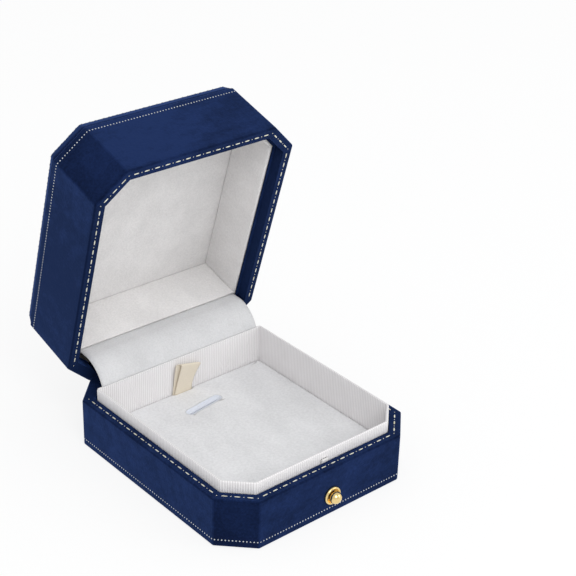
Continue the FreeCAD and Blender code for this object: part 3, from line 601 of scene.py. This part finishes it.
def loft(rings, wrap=False, shades=None):
    """Skin over closed rings of points; wrap joins the last ring to the first.

    shades holds a list for each ring, kept on its vertices for the finish to read.
    """
    bm = bmesh.new()
    layer = bm.verts.layers.float.new("shade")
    row = [bm.verts.new(point) for point in rings[0]]
    first = [bm.edges.new((row[i - 1], row[i])) for i in range(len(row))]
    rows = [row]
    last = first
    for ring in rings[1:]:
        made = bmesh.ops.extrude_edge_only(bm, edges=last)["geom"]
        fresh = {end for item in made if isinstance(item, bmesh.types.BMEdge) for end in item.verts}
        partner = {}
        for old in row:
            for edge in old.link_edges:
                other = edge.other_vert(old)
                if other in fresh:
                    partner[old] = other
        row = [partner[old] for old in row]
        for vertex, point in zip(row, ring):
            vertex.co = point
        last = [bm.edges.get((row[i - 1], row[i])) for i in range(len(row))]
        rows.append(row)
    for row, values in zip(rows, shades or []):
        for vertex, value in zip(row, values):
            vertex[layer] = value
    if wrap:
        bmesh.ops.bridge_loops(bm, edges=last + first)
    face_outwards(bm)
    return bm


def add_mark(bm, centre, along, normal, size, blunt=1.0):
    """Press one flat oval of foil on a surface; blunt above 1 squares its ends.

    size is its half length, its half width and its height.
    """
    along = along.normalized()
    across = normal.cross(along).normalized()
    placing = Matrix.Identity(4)
    for i, (axis, reach) in enumerate(zip((along, across, normal), size)):
        for row in range(3):
            placing[row][i] = axis[row] * reach
    mark = bmesh.new()
    bmesh.ops.create_uvsphere(mark, u_segments=8, v_segments=4, radius=1.0)
    for vertex in mark.verts:
        vertex.co.x = max(-1.0, min(1.0, vertex.co.x * blunt))
    bmesh.ops.transform(mark, matrix=Matrix.Translation(centre) @ placing, verts=mark.verts)
    stamped = bpy.data.meshes.new("stamped")
    mark.to_mesh(stamped)
    mark.free()
    bm.from_mesh(stamped)
    bpy.data.meshes.remove(stamped)


def paint(finish, *nodes):
    """Give CAD nodes their finish."""
    for node in nodes:
        data = frame["nodes"][node].data
        data.materials.clear()
        data.materials.append(made(finish))


def crown_height(x, y):
    """Height of the padded top at a place, lid closed."""
    s = sizes()
    side = HALF_WIDTH - s.bevel_inset
    front = HALF_DEPTH - s.bevel_inset
    corner = (HALF_WIDTH + HALF_DEPTH - s.corner_cut) / math.sqrt(2) - s.bevel_inset
    share = max(abs(x) / side, abs(y) / front, (abs(x) + abs(y)) / math.sqrt(2) / corner)
    inward = max(0.0, 1 - share)
    shoulder = 0.02
    bevel = CREASE + s.bevel_rise
    return bevel + (CROWN - bevel) * inward * (1 + shoulder) / (inward + shoulder)


def on_crown(spot):
    """A place of the plan lifted onto the padded top."""
    return spot + UP * crown_height(spot.x, spot.y)


class BOX_OT_leatherette(bpy.types.Operator):
    """Cover the base and the lid walls"""

    bl_idname = "pendant_box.leatherette"
    bl_label = "Leatherette"

    def execute(self, context):
        paint("leatherette_base", "base_wrap")
        paint("leatherette_lid", "lid_wrap")
        return {"FINISHED"}


class BOX_OT_lid_panel(bpy.types.Operator):
    """Model the padded top of the lid"""

    bl_idname = "pendant_box.lid_panel"
    bl_label = "Padded top"

    def execute(self, context):
        s = sizes()
        corner_radius = 1.3 * MM
        foot = rounded(plan(s.bevel_foot, s.corner_cut), corner_radius)
        edge = rounded(plan(s.bevel_inset, s.corner_cut), corner_radius)
        rings = [[point + UP * CREASE for point in foot]]
        rings.append([a.lerp(b, 0.5) + UP * (CREASE + s.bevel_rise * 0.5) for a, b in zip(foot, edge)])
        # Rings across the crown, close together at its shoulder.
        shares = [0.0, 0.004, 0.009, 0.016, 0.026, 0.04, 0.06, 0.09, 0.14, 0.22, 0.34, 0.5, 0.68, 0.85]
        rings += [[on_crown(point * (1 - share)) for point in edge] for share in shares]
        bm = loft(rings)
        centre = bm.verts.new(UP * CROWN)
        above_bevel = CREASE + 2 * MM
        hole = [rim for rim in bm.edges if rim.is_boundary and rim.verts[0].co.z > above_bevel]
        for rim in hole:
            bm.faces.new((*rim.verts, centre))
        thicken(bm)
        panel = make_piece("padded_top", bm, "lid", "leatherette_lid", OPEN)
        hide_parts("lid_cover")
        return {"FINISHED"}


class BOX_OT_bead_lines(bpy.types.Operator):
    """Tool the two bead lines round the base and the lid"""

    bl_idname = "pendant_box.bead_lines"
    bl_label = "Bead lines"

    def execute(self, context):
        s = sizes()
        corners = plan(0.0, s.corner_cut)
        proud = 0.09 * MM
        bead = (s.bead_width / 2, s.bead_width / 2, proud)
        lines = [
            ("bead_line_base", "base", s.base_line, None),
            ("bead_line_lid", "lid", CREASE - s.lid_line, OPEN),
        ]
        for name, body, height, turn in lines:
            bm = bmesh.new()
            for point, heading, outward in along_sides(corners, s.bead_pitch):
                add_mark(bm, point + UP * height, heading, outward, bead)
            make_piece(name, bm, body, "bead_foil", turn)
        return {"FINISHED"}


class BOX_OT_stitch_lines(bpy.types.Operator):
    """Stamp the dash and dot lines on both rims, except along the back"""

    bl_idname = "pendant_box.stitch_lines"
    bl_label = "Rim lines"

    def execute(self, context):
        s = sizes()
        corners = plan(s.stitch_inset, s.corner_cut)
        proud = 0.08 * MM
        dot_radius = s.stitch_width * 0.32
        dash = (s.stitch_length / 2, s.stitch_width / 2, proud)
        dot = (dot_radius, dot_radius, proud)
        lines = [
            ("rim_line_base", "base", RIM, UP, None),
            ("rim_line_lid", "lid", LID_RIM, -UP, OPEN),
        ]
        for name, body, height, normal, turn in lines:
            bm = bmesh.new()
            for mark, phase in ((dash, 0.5), (dot, 0.0)):
                for point, heading, outward in along_sides(corners, s.stitch_pitch, phase, fitted=False):
                    if outward.y < 0.1:
                        add_mark(bm, point + UP * height, heading, normal, mark, 1.4)
            make_piece(name, bm, body, "foil", turn)
        return {"FINISHED"}


class BOX_OT_chevron_border(bpy.types.Operator):
    """Stamp the chevron border round the padded top"""

    bl_idname = "pendant_box.chevron_border"
    bl_label = "Chevron border"

    def execute(self, context):
        s = sizes()
        rise = s.chevron_rise
        gap = 0.2 * MM
        limb_width, middle_width, dot_width = 0.58 * MM, 0.48 * MM, 0.45 * MM
        dot_half = 0.25 * MM
        # Start and end of each stroke, along the border and inward, and its width.
        strokes = [
            (-s.chevron_half, 0.0, -gap, rise, limb_width),
            (s.chevron_half, 0.0, gap, rise, limb_width),
            (0.0, gap, 0.0, rise * 0.7, middle_width),
        ]
        bm = bmesh.new()
        corners = plan(s.bevel_inset + 0.05 * MM, s.corner_cut)
        for point, heading, outward in along_sides(corners, s.chevron_pitch):
            for x0, y0, x1, y1, width in strokes:
                start = on_crown(point + heading * x0 - outward * y0)
                end = on_crown(point + heading * x1 - outward * y1)
                self.stamp(bm, start, end, outward, width)
        for point, heading, outward in along_sides(corners, s.chevron_pitch, 0.0):
            spot = on_crown(point - outward * 0.1 * MM)
            self.stamp(bm, spot - heading * dot_half, spot + heading * dot_half, outward, dot_width)
        make_piece("chevron_border", bm, "lid", "foil", OPEN)
        return {"FINISHED"}

    def stamp(self, bm, start, end, outward, width):
        """One stroke of foil laid on the slope between two points."""
        proud = 0.07 * MM
        reach = 0.2 * MM
        run = end - start
        middle = (start + end) / 2
        drop = crown_height(middle.x - outward.x * reach, middle.y - outward.y * reach)
        drop -= crown_height(middle.x, middle.y)
        normal = (UP * reach + outward * drop).normalized()
        normal = (normal - run.normalized() * normal.dot(run.normalized())).normalized()
        middle.z = max(middle.z, crown_height(middle.x, middle.y))
        add_mark(bm, middle, run, normal, (run.length / 2, width / 2, proud), 1.15)


class BOX_OT_collar(bpy.types.Operator):
    """Model the ribbed collar"""

    bl_idname = "pendant_box.collar"
    bl_label = "Ribbed collar"

    def execute(self, context):
        s = sizes()
        half = s.collar_thickness / 2
        play = 0.05 * MM
        inset = HALF_WIDTH - COLLAR_HIGH.x + half + play
        corners = tray_plan(inset, COLLAR_HIGH.y - half - play, s.corner_cut)
        outline = rounded(corners, 0.7 * MM)
        ends = outline[1:] + outline[:1]
        girth = sum((end - start).length for start, end in zip(outline, ends))
        per_rib = 6
        places = evenly(outline, round(girth / s.rib_pitch) * per_rib)
        waves = [math.cos(2 * math.pi * i / per_rib) for i in range(len(places))]
        low = COLLAR_LOW.z
        top = COLLAR_HIGH.z
        recess_top = TONGUE_TOP + 0.15 * MM
        recess_depth = 0.62 * MM
        worn_ribs = 0.4
        hair = 1e-7

        def ring(reach, height, ribbed, recess=0.0):
            points = []
            side = 1 if reach > 0 else -1
            for (point, outward), wave in zip(places, waves):
                proud = wave * s.rib_depth / 2 * ribbed
                if recess and outward.y < -0.9 and abs(point.x) < s.tongue_room:
                    proud = -recess
                points.append(point + outward * (reach + side * proud) + UP * height)
            return points

        # Up the outside past the latch tongue's recess, over the rounded top and down the inside.
        rings = [ring(half, low, 1, recess_depth), ring(half, recess_top, 1, recess_depth)]
        rings += [ring(half, recess_top, 1), ring(half, top - half, 1)]
        for step in range(1, 6):
            angle = math.pi * step / 6
            reach = half * math.cos(angle) + hair
            rings.append(ring(reach, top - half + half * math.sin(angle), worn_ribs))
        rings += [ring(-half, top - half, 1), ring(-half, low, 1)]
        # 1 in each groove, where the card finish paints shade.
        groove_shading = [(1 - wave) / 2 for wave in waves]
        bm = loft(rings, wrap=True, shades=[groove_shading] * len(rings))
        bmesh.ops.remove_doubles(bm, verts=bm.verts, dist=hair)
        collar = make_piece("ribbed_collar", bm, "base", "ribbed_card")
        collar.data.set_sharp_from_angle(angle=math.radians(60))
        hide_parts("collar")
        return {"FINISHED"}


def slot_point(direction, half, radius):
    """Where a ray from the slot's centre meets its rounded outline."""
    x = abs(direction.x)
    y = abs(direction.y)
    if y > 0 and radius / y * x <= half:
        return direction * (radius / y)
    return direction * (half * x + math.sqrt(max(0.0, radius ** 2 - half ** 2 * y ** 2)))


class BOX_OT_pad(bpy.types.Operator):
    """Model the suede pad with its slot"""

    bl_idname = "pendant_box.pad"
    bl_label = "Pendant pad"

    def execute(self, context):
        s = sizes()
        centre = Vector(((PAD_LOW.x + PAD_HIGH.x) / 2, s.slot_back, 0))
        corners = tray_plan(HALF_WIDTH - PAD_HIGH.x, PAD_HIGH.y, s.corner_cut)
        places = evenly(rounded(corners, 1.0 * MM), 260)
        low = PAD_LOW.z
        top = PAD_HIGH.z
        turn = s.pad_round
        notch_half = 4.5 * MM
        notch_depth = 0.72 * MM
        half = (s.slot_length - s.slot_width) / 2
        slit = (s.slit_width - s.slot_width) / 2
        askew = Matrix.Rotation(SLOT_TURN, 3, "Z")
        straight = askew.inverted()

        def outer(shrink, height):
            points = []
            for point, outward in places:
                at_ribbon = abs(point.x) < notch_half and point.y > PAD_HIGH.y - MM
                notch = Vector((0, notch_depth if at_ribbon else 0.0, 0))
                points.append(point - outward * shrink + UP * height - notch)
            return points

        def inner(grow, height):
            points = []
            for point, _ in places:
                direction = straight @ (point - centre).normalized()
                spot = askew @ slot_point(direction, half, s.slot_width / 2 + grow)
                points.append(centre + spot + UP * height)
            return points

        # Up the outside, across the top to the slot's lip and down its wall to the slit.
        rings = [outer(0.1 * MM, low), outer(0.0, low + 0.3 * MM), outer(0.0, top - turn)]
        for step in range(1, 5):
            angle = math.pi / 2 * step / 4
            rings.append(outer(turn * (1 - math.cos(angle)), top - turn + turn * math.sin(angle)))
        edge = rings[-1]
        lip = inner(0.4 * MM, top)
        for share in (0.03, 0.08, 0.16, 0.28, 0.42, 0.56, 0.7, 0.82, 0.91, 0.97):
            swell = 0.10 * MM * math.sin(math.pi * share)
            rings.append([a.lerp(b, share) + UP * swell for a, b in zip(edge, lip)])
        # The wall in millimetres: out of the slot and below the top.
        wall = [(0.75, 0.0), (0.4, 0.0), (0.15, 0.05), (0.03, 0.18), (-0.1, 0.4)]
        rings += [inner(out * MM, top - down * MM) for out, down in wall]
        rings += [inner(slit * 0.5, top - 0.62 * MM), inner(slit, top - 0.75 * MM), inner(slit, low)]
        # The lip holds a half, where the suede paints a greyer line of shade, and the wall below holds 1.
        cut = [0.5] + [1.0] * 6
        shades = [[share] * len(places) for share in [0.0] * (len(rings) - len(cut)) + cut]
        bm = loft(rings, wrap=True, shades=shades)
        pad = make_piece("suede_pad", bm, "pendant_pad", "pad_suede")
        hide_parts("pad_cover")
        return {"FINISHED"}


class BOX_OT_ribbon(bpy.types.Operator):
    """Model the folded lifting ribbon"""

    bl_idname = "pendant_box.ribbon"
    bl_label = "Ribbon"

    def execute(self, context):
        s = sizes()
        half = (RIBBON_HIGH.x - RIBBON_LOW.x) / 2
        middle = (RIBBON_HIGH.x + RIBBON_LOW.x) / 2
        foot = BOARD_UNDERSIDE + 0.3 * MM
        back = RIBBON_HIGH.y - 0.2 * MM
        fold = 0.42 * MM
        rise = RIBBON_HIGH.z - fold - foot
        lean = 0.9 * MM
        curl = 1.4 * MM
        foot_aside, back_aside, front_aside = -0.9 * MM, 0.4 * MM, 2.3 * MM
        foot_gap = 0.35
        leg = 0.46
        bm = bmesh.new()
        layers = bm.loops.layers.uv.new("UVMap")
        bmesh.ops.create_grid(bm, x_segments=12, y_segments=60, size=0.5)
        for face in bm.faces:
            for corner in face.loops:
                corner[layers].uv = (corner.vert.co.x + 0.5, corner.vert.co.y + 0.5)
        # Up the back leg, over the fold and down the front leg; leg is the share of each in the strip.
        for vertex in bm.verts:
            across = vertex.co.x * 2
            way = vertex.co.y + 0.5
            slant = across * s.ribbon_slant
            if leg <= way <= 1 - leg:
                share = (way - leg) / (1 - 2 * leg)
                aside = back_aside + (front_aside - back_aside) * share
                depth = back - lean - fold * (1 - math.cos(math.pi * share))
                lift = rise + fold * math.sin(math.pi * share) - slant
            else:
                in_front = way > 1 - leg
                share = (1 - way if in_front else way) / leg
                aside = foot_aside + ((front_aside if in_front else back_aside) - foot_aside) * share
                depth = back - lean * share ** 2
                lift = rise * share - slant * share ** 2
                if in_front:
                    aside -= curl * max(0.0, across) * math.sin(math.pi * share)
                    depth -= fold * (foot_gap + (2 - foot_gap) * share ** 0.5)
            vertex.co = Vector((middle + across * half + aside, depth, foot + lift))
        face_outwards(bm)
        ribbon = make_piece("folded_ribbon", bm, "pendant_pad", "satin_ribbon")
        thick = ribbon.modifiers.new("thickness", "SOLIDIFY")
        thick.thickness = 0.22 * MM
        thick.offset = 0.0
        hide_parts("ribbon_tab")
        return {"FINISHED"}


class BOX_OT_linings(bpy.types.Operator):
    """Model the padded linings of the lid"""

    bl_idname = "pendant_box.linings"
    bl_label = "Lid linings"

    def execute(self, context):
        for node in frame["nodes"]:
            if node.startswith("lining_"):
                self.soften(node)
        return {"FINISHED"}

    def soften(self, node):
        """Copy a flat CAD lining and round its edges as padded card has them."""
        bm = bmesh.new()
        bm.from_mesh(frame["nodes"][node].data)
        bmesh.ops.remove_doubles(bm, verts=bm.verts, dist=1e-6)
        bmesh.ops.dissolve_limit(bm, angle_limit=math.radians(1), verts=bm.verts, edges=bm.edges)
        sharp = [edge for edge in bm.edges if edge.calc_face_angle(0) > math.radians(30)]
        offset = sizes().lining_round
        bmesh.ops.bevel(bm, geom=sharp, offset=offset, affect="EDGES", segments=4, profile=0.5, material=-1)
        piece = make_piece("soft_" + node, bm, "lid", "lid_suede")
        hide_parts(node)


class BOX_OT_hinge_cover(bpy.types.Operator):
    """Model the suede strip that crosses the hinge"""

    bl_idname = "pendant_box.hinge_cover"
    bl_label = "Hinge cover"

    def execute(self, context):
        start = Vector((0, COLLAR_HIGH.y - 0.9 * MM, COLLAR_HIGH.z + 0.05 * MM)) - HINGE
        end = OPEN @ Vector((0, LINING_LOW.y, LINING_LOW.z)) - HINGE
        first = math.atan2(start.z, -start.y)
        last = math.atan2(end.z, -end.y)
        radius = (start.length + end.length) / 2 - 0.3 * MM
        swell = 0.25 * MM
        dip = 0.14 * MM
        dip_place, dip_reach = 0.80, 0.07
        bm = bmesh.new()
        bmesh.ops.create_grid(bm, x_segments=40, y_segments=28, size=0.5)
        for vertex in bm.verts:
            across = vertex.co.x * 2 * HINGE_COVER_HALF
            way = vertex.co.y + 0.5
            angle = first + (last - first) * way
            sag = dip * math.exp(-((way - dip_place) / dip_reach) ** 2)
            curve = radius - sag + swell * math.sin(math.pi * way)
            vertex.co = HINGE + Vector((across, -math.cos(angle) * curve, math.sin(angle) * curve))
        thicken(bm)
        cover = make_piece("soft_hinge_cover", bm, None, "cover_suede")
        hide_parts("hinge_cover")
        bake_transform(cover)
        return {"FINISHED"}


def turned(profile):
    """A solid turned from a closed profile of (radius, height) in millimetres, facing -Y on the front."""
    bm = bmesh.new()
    points = [bm.verts.new(Vector((radius, 0, height)) * MM) for radius, height in profile]
    edges = [bm.edges.new((points[i - 1], points[i])) for i in range(len(points))]
    bmesh.ops.spin(
        bm, geom=points + edges, cent=ORIGIN, axis=UP, angle=2 * math.pi, steps=56, use_merge=True,
    )
    bmesh.ops.remove_doubles(bm, verts=bm.verts, dist=1e-7)
    face_outwards(bm)
    front = Matrix.Translation(Vector((0, -HALF_DEPTH, BUTTON_HEIGHT)))
    bmesh.ops.transform(bm, matrix=front @ Matrix.Rotation(math.radians(90), 4, "X"), verts=bm.verts)
    return bm


def arc_points(centre, radius, start, end, steps):
    """Points of an arc in a profile, angles in degrees from the radius axis."""
    points = []
    for step in range(steps + 1):
        angle = math.radians(start + (end - start) * step / steps)
        points.append((centre[0] + radius[0] * math.cos(angle), centre[1] + radius[1] * math.sin(angle)))
    return points


class BOX_OT_button(bpy.types.Operator):
    """Turn the gilt ring round the button's ball"""

    bl_idname = "pendant_box.button"
    bl_label = "Button"

    def execute(self, context):
        # The profile is in millimetres: a raised bead, the cup behind the ball, the bore and the shank.
        outer = (RING_HIGH.x - RING_LOW.x) / 2 / MM
        mouth = 2.35
        middle = (outer + mouth) / 2
        shank = outer - 0.4
        ring = arc_points((middle, 0.25), (outer - middle, 0.75), 0, 165, 14)
        ring += arc_points((0.0, 1.1), (mouth, mouth), -20, -50, 6)
        ring += [(1.5, -1.5), (1.0, -1.5), (1.0, -2.0), (shank, -2.0), (shank, 0.0), (outer, 0.0)]
        piece = make_piece("button_ring", turned(ring), "base", "polished_brass")
        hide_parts("button_bezel")
        return {"FINISHED"}


class BOX_OT_return_spring(bpy.types.Operator):
    """Copy the button's spring as a smooth piece that rides on the base"""

    bl_idname = "pendant_box.return_spring"
    bl_label = "Return spring"

    def execute(self, context):
        low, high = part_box("return_spring")
        bm = bmesh.new()
        bm.from_mesh(frame["nodes"]["return_spring"].data)
        bmesh.ops.remove_doubles(bm, verts=bm.verts, dist=1e-7)
        spring = make_piece("coiled_spring", bm, "base", "spring_steel")
        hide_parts("return_spring")
        travel = max(PRESS_JOINT["range_m"])
        1 - travel / (high.y - low.y)
        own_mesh(spring)
        return {"FINISHED"}


class BOX_OT_hidden_parts(bpy.types.Operator):
    """Finish the ball and the pieces that show little or not at all"""

    bl_idname = "pendant_box.hidden_parts"
    bl_label = "Cores, board and hinge"

    def execute(self, context):
        paint("flocked_paper", "base_sheet")
        paint("moulded_core", "base_core", "lid_core")
        paint("white_board", "pad_board", "floor_liner")
        paint("white_foam", "pad_rest", "lid_foam")
        hinge = [node for node in frame["nodes"] if node.startswith("hinge_") and node != "hinge_cover"]
        paint("hinge_steel", *hinge)
        paint("spring_steel", "stem_washer", "hinge_spring")
        paint("white_lacquer", "latch_plate", "strike_plate")
        paint("polished_brass", "button_knob")
        return {"FINISHED"}


class BOX_OT_finishes(bpy.types.Operator):
    """Mix all the finishes"""

    bl_idname = "pendant_box.finishes"
    bl_label = "Finishes"

    def execute(self, context):
        # The spots are painted light and shade: darker on the base's front towards the right, lighter on
        # the lid's front wall and darker on its left side.
        leatherette("leatherette_base", False, [((30, -46, 10), 24, -0.5)])
        leatherette("leatherette_lid", True, [((-14, -46, 28), 26, 0.8), ((-40, 5, 33), 46, -0.8)])
        foil("foil", colours().foil, (0.62, 0.58, 0.40))
        foil("bead_foil", colours().beads, (0.42, 0.44, 0.45))
        polished_brass()
        suede("pad_suede", colours().suede, 0.9, (0.69, 0.72, 0.79))
        # The hinge cover's suede is darkened as painted shade.
        suede("cover_suede", colours().cover, 0.6)
        suede("lid_suede", colours().lining, 0.7)
        ribbed_card()
        satin_ribbon()
        flocked_paper()
        board("moulded_core", (0.36, 0.34, 0.31), 1.2)
        board("white_board", (0.80, 0.82, 0.88), 0.8)
        board("white_foam", (0.82, 0.82, 0.81), 0.6)
        board("white_lacquer", (0.78, 0.77, 0.76), 0.5)
        plated_steel("hinge_steel", (0.62, 0.58, 0.48), 0.28)
        plated_steel("spring_steel", (0.50, 0.50, 0.52), 0.35)
        return {"FINISHED"}


class BOX_OT_stage(bpy.types.Operator):
    """Set up the floor, the soft lights and the camera"""

    bl_idname = "pendant_box.stage"
    bl_label = "Stage"

    def execute(self, context):
        self.add_floor()
        self.add_world(context.scene)
        self.add_lamps(context.scene)
        self.add_camera(context.scene)
        context.scene.view_settings.view_transform = "Standard"
        return {"FINISHED"}

    def add_floor(self):
        """A pale floor that mostly glows where it is seen directly or in a mirror."""
        finish = Finish("floor")
        finish.surface(Base_Color=(0.95, 0.95, 0.95), Roughness=1.0, Specular_IOR_Level=0.0)
        glow = finish.add("ShaderNodeEmission", None, {"Color": (1.0, 1.0, 1.0), "Strength": 1.0})
        seen = finish.rays("Is Camera Ray") + finish.rays("Is Glossy Ray")
        share = (seen + finish.rays("Is Transmission Ray")) * 0.84
        finish.show(share, Value(finish, finish.shader.outputs[0]), glow)
        bm = bmesh.new()
        bmesh.ops.create_grid(bm, x_segments=1, y_segments=1, size=1.5)
        bmesh.ops.translate(bm, vec=-UP * 0.02 * MM, verts=bm.verts)
        add_object("floor", bm, finish.material)

    def add_world(self, scene):
        """Even light from all sides, with a white backdrop where it is seen directly."""
        scene.world = bpy.data.worlds.new("studio")
        scene.world.use_nodes = True
        sky = Nodes(scene.world.node_tree, "ShaderNodeOutputWorld")
        light = sky.add("ShaderNodeBackground", None, {"Color": (0.98, 0.99, 1.0), "Strength": 0.78})
        backdrop = sky.add("ShaderNodeBackground", None, {"Color": (1.0, 1.0, 1.0), "Strength": 1.0})
        camera = sky.rays("Is Camera Ray")
        sky.show(camera.math("MAXIMUM", camera, sky.rays("Is Transmission Ray")), light, backdrop)

    def add_lamps(self, scene):
        target = Vector((0, 0, 0.03))
        lamps = [
            ("key_light", Vector((-0.30, -0.80, 0.85)), 5.0),
            ("fill_light", Vector((0.75, -0.70, 0.45)), 2.0),
        ]
        for name, place, power in lamps:
            data = bpy.data.lights.new(name, "AREA")
            data.shape = "DISK"
            data.size = 0.7
            data.energy = power
            lamp = bpy.data.objects.new(name, data)
            lamp.location = place
            lamp.rotation_euler = (target - place).to_track_quat("-Z", "Y").to_euler()
            scene.collection.objects.link(lamp)

    def add_camera(self, scene):
        """The camera of the photograph, worked out from the box's corners in it."""
        azimuth = math.radians(-41.27)
        elevation = math.radians(28.07)
        roll = math.radians(1.734)
        distance = 0.49486
        target = Vector((0.019186, 0.0, 0.05674))
        focal_pixels = 1493.76
        frame_pixels = 576
        away = Vector((math.sin(azimuth), -math.cos(azimuth), 0))
        back = away * math.cos(elevation) + UP * math.sin(elevation)
        level = Vector((math.cos(azimuth), math.sin(azimuth), 0))
        upright = back.cross(level)
        right = level * math.cos(roll) + upright * math.sin(roll)
        above = upright * math.cos(roll) - level * math.sin(roll)
        data = bpy.data.cameras.new("camera")
        data.sensor_width = 36.0
        data.lens = data.sensor_width * focal_pixels / frame_pixels
        camera = bpy.data.objects.new("camera", data)
        turn = Matrix((right, above, back)).transposed().to_4x4()
        camera.matrix_world = Matrix.Translation(target + back * distance) @ turn
        scene.collection.objects.link(camera)
        scene.camera = camera


STEPS = (
    BOX_OT_finishes, BOX_OT_leatherette, BOX_OT_lid_panel, BOX_OT_bead_lines, BOX_OT_stitch_lines,
    BOX_OT_chevron_border, BOX_OT_collar, BOX_OT_pad, BOX_OT_ribbon, BOX_OT_linings,
    BOX_OT_hinge_cover, BOX_OT_button, BOX_OT_return_spring, BOX_OT_hidden_parts, BOX_OT_stage,
)


class BOX_PT_panel(bpy.types.Panel):
    """Lists the steps that dress the box"""

    bl_idname = "BOX_PT_panel"
    bl_label = "Pendant Box"
    bl_space_type = "VIEW_3D"
    bl_region_type = "UI"
    bl_category = "Pendant Box"

    def draw(self, context):
        for step in STEPS:
            self.layout.operator(step.bl_idname)


CLASSES = (BoxSizes, BoxColours, *STEPS, BOX_PT_panel)


def register():
    for item in CLASSES:
        bpy.utils.register_class(item)
    bpy.types.Scene.box_sizes = bpy.props.PointerProperty(type=BoxSizes)
    bpy.types.Scene.box_colours = bpy.props.PointerProperty(type=BoxColours)


def unregister():
    del bpy.types.Scene.box_colours
    del bpy.types.Scene.box_sizes
    for item in reversed(CLASSES):
        bpy.utils.unregister_class(item)


def main():
    register()
    for step in STEPS:
        group, name = step.bl_idname.split(".")
        getattr(getattr(bpy.ops, group), name)()


if __name__ == "__main__":
    main()
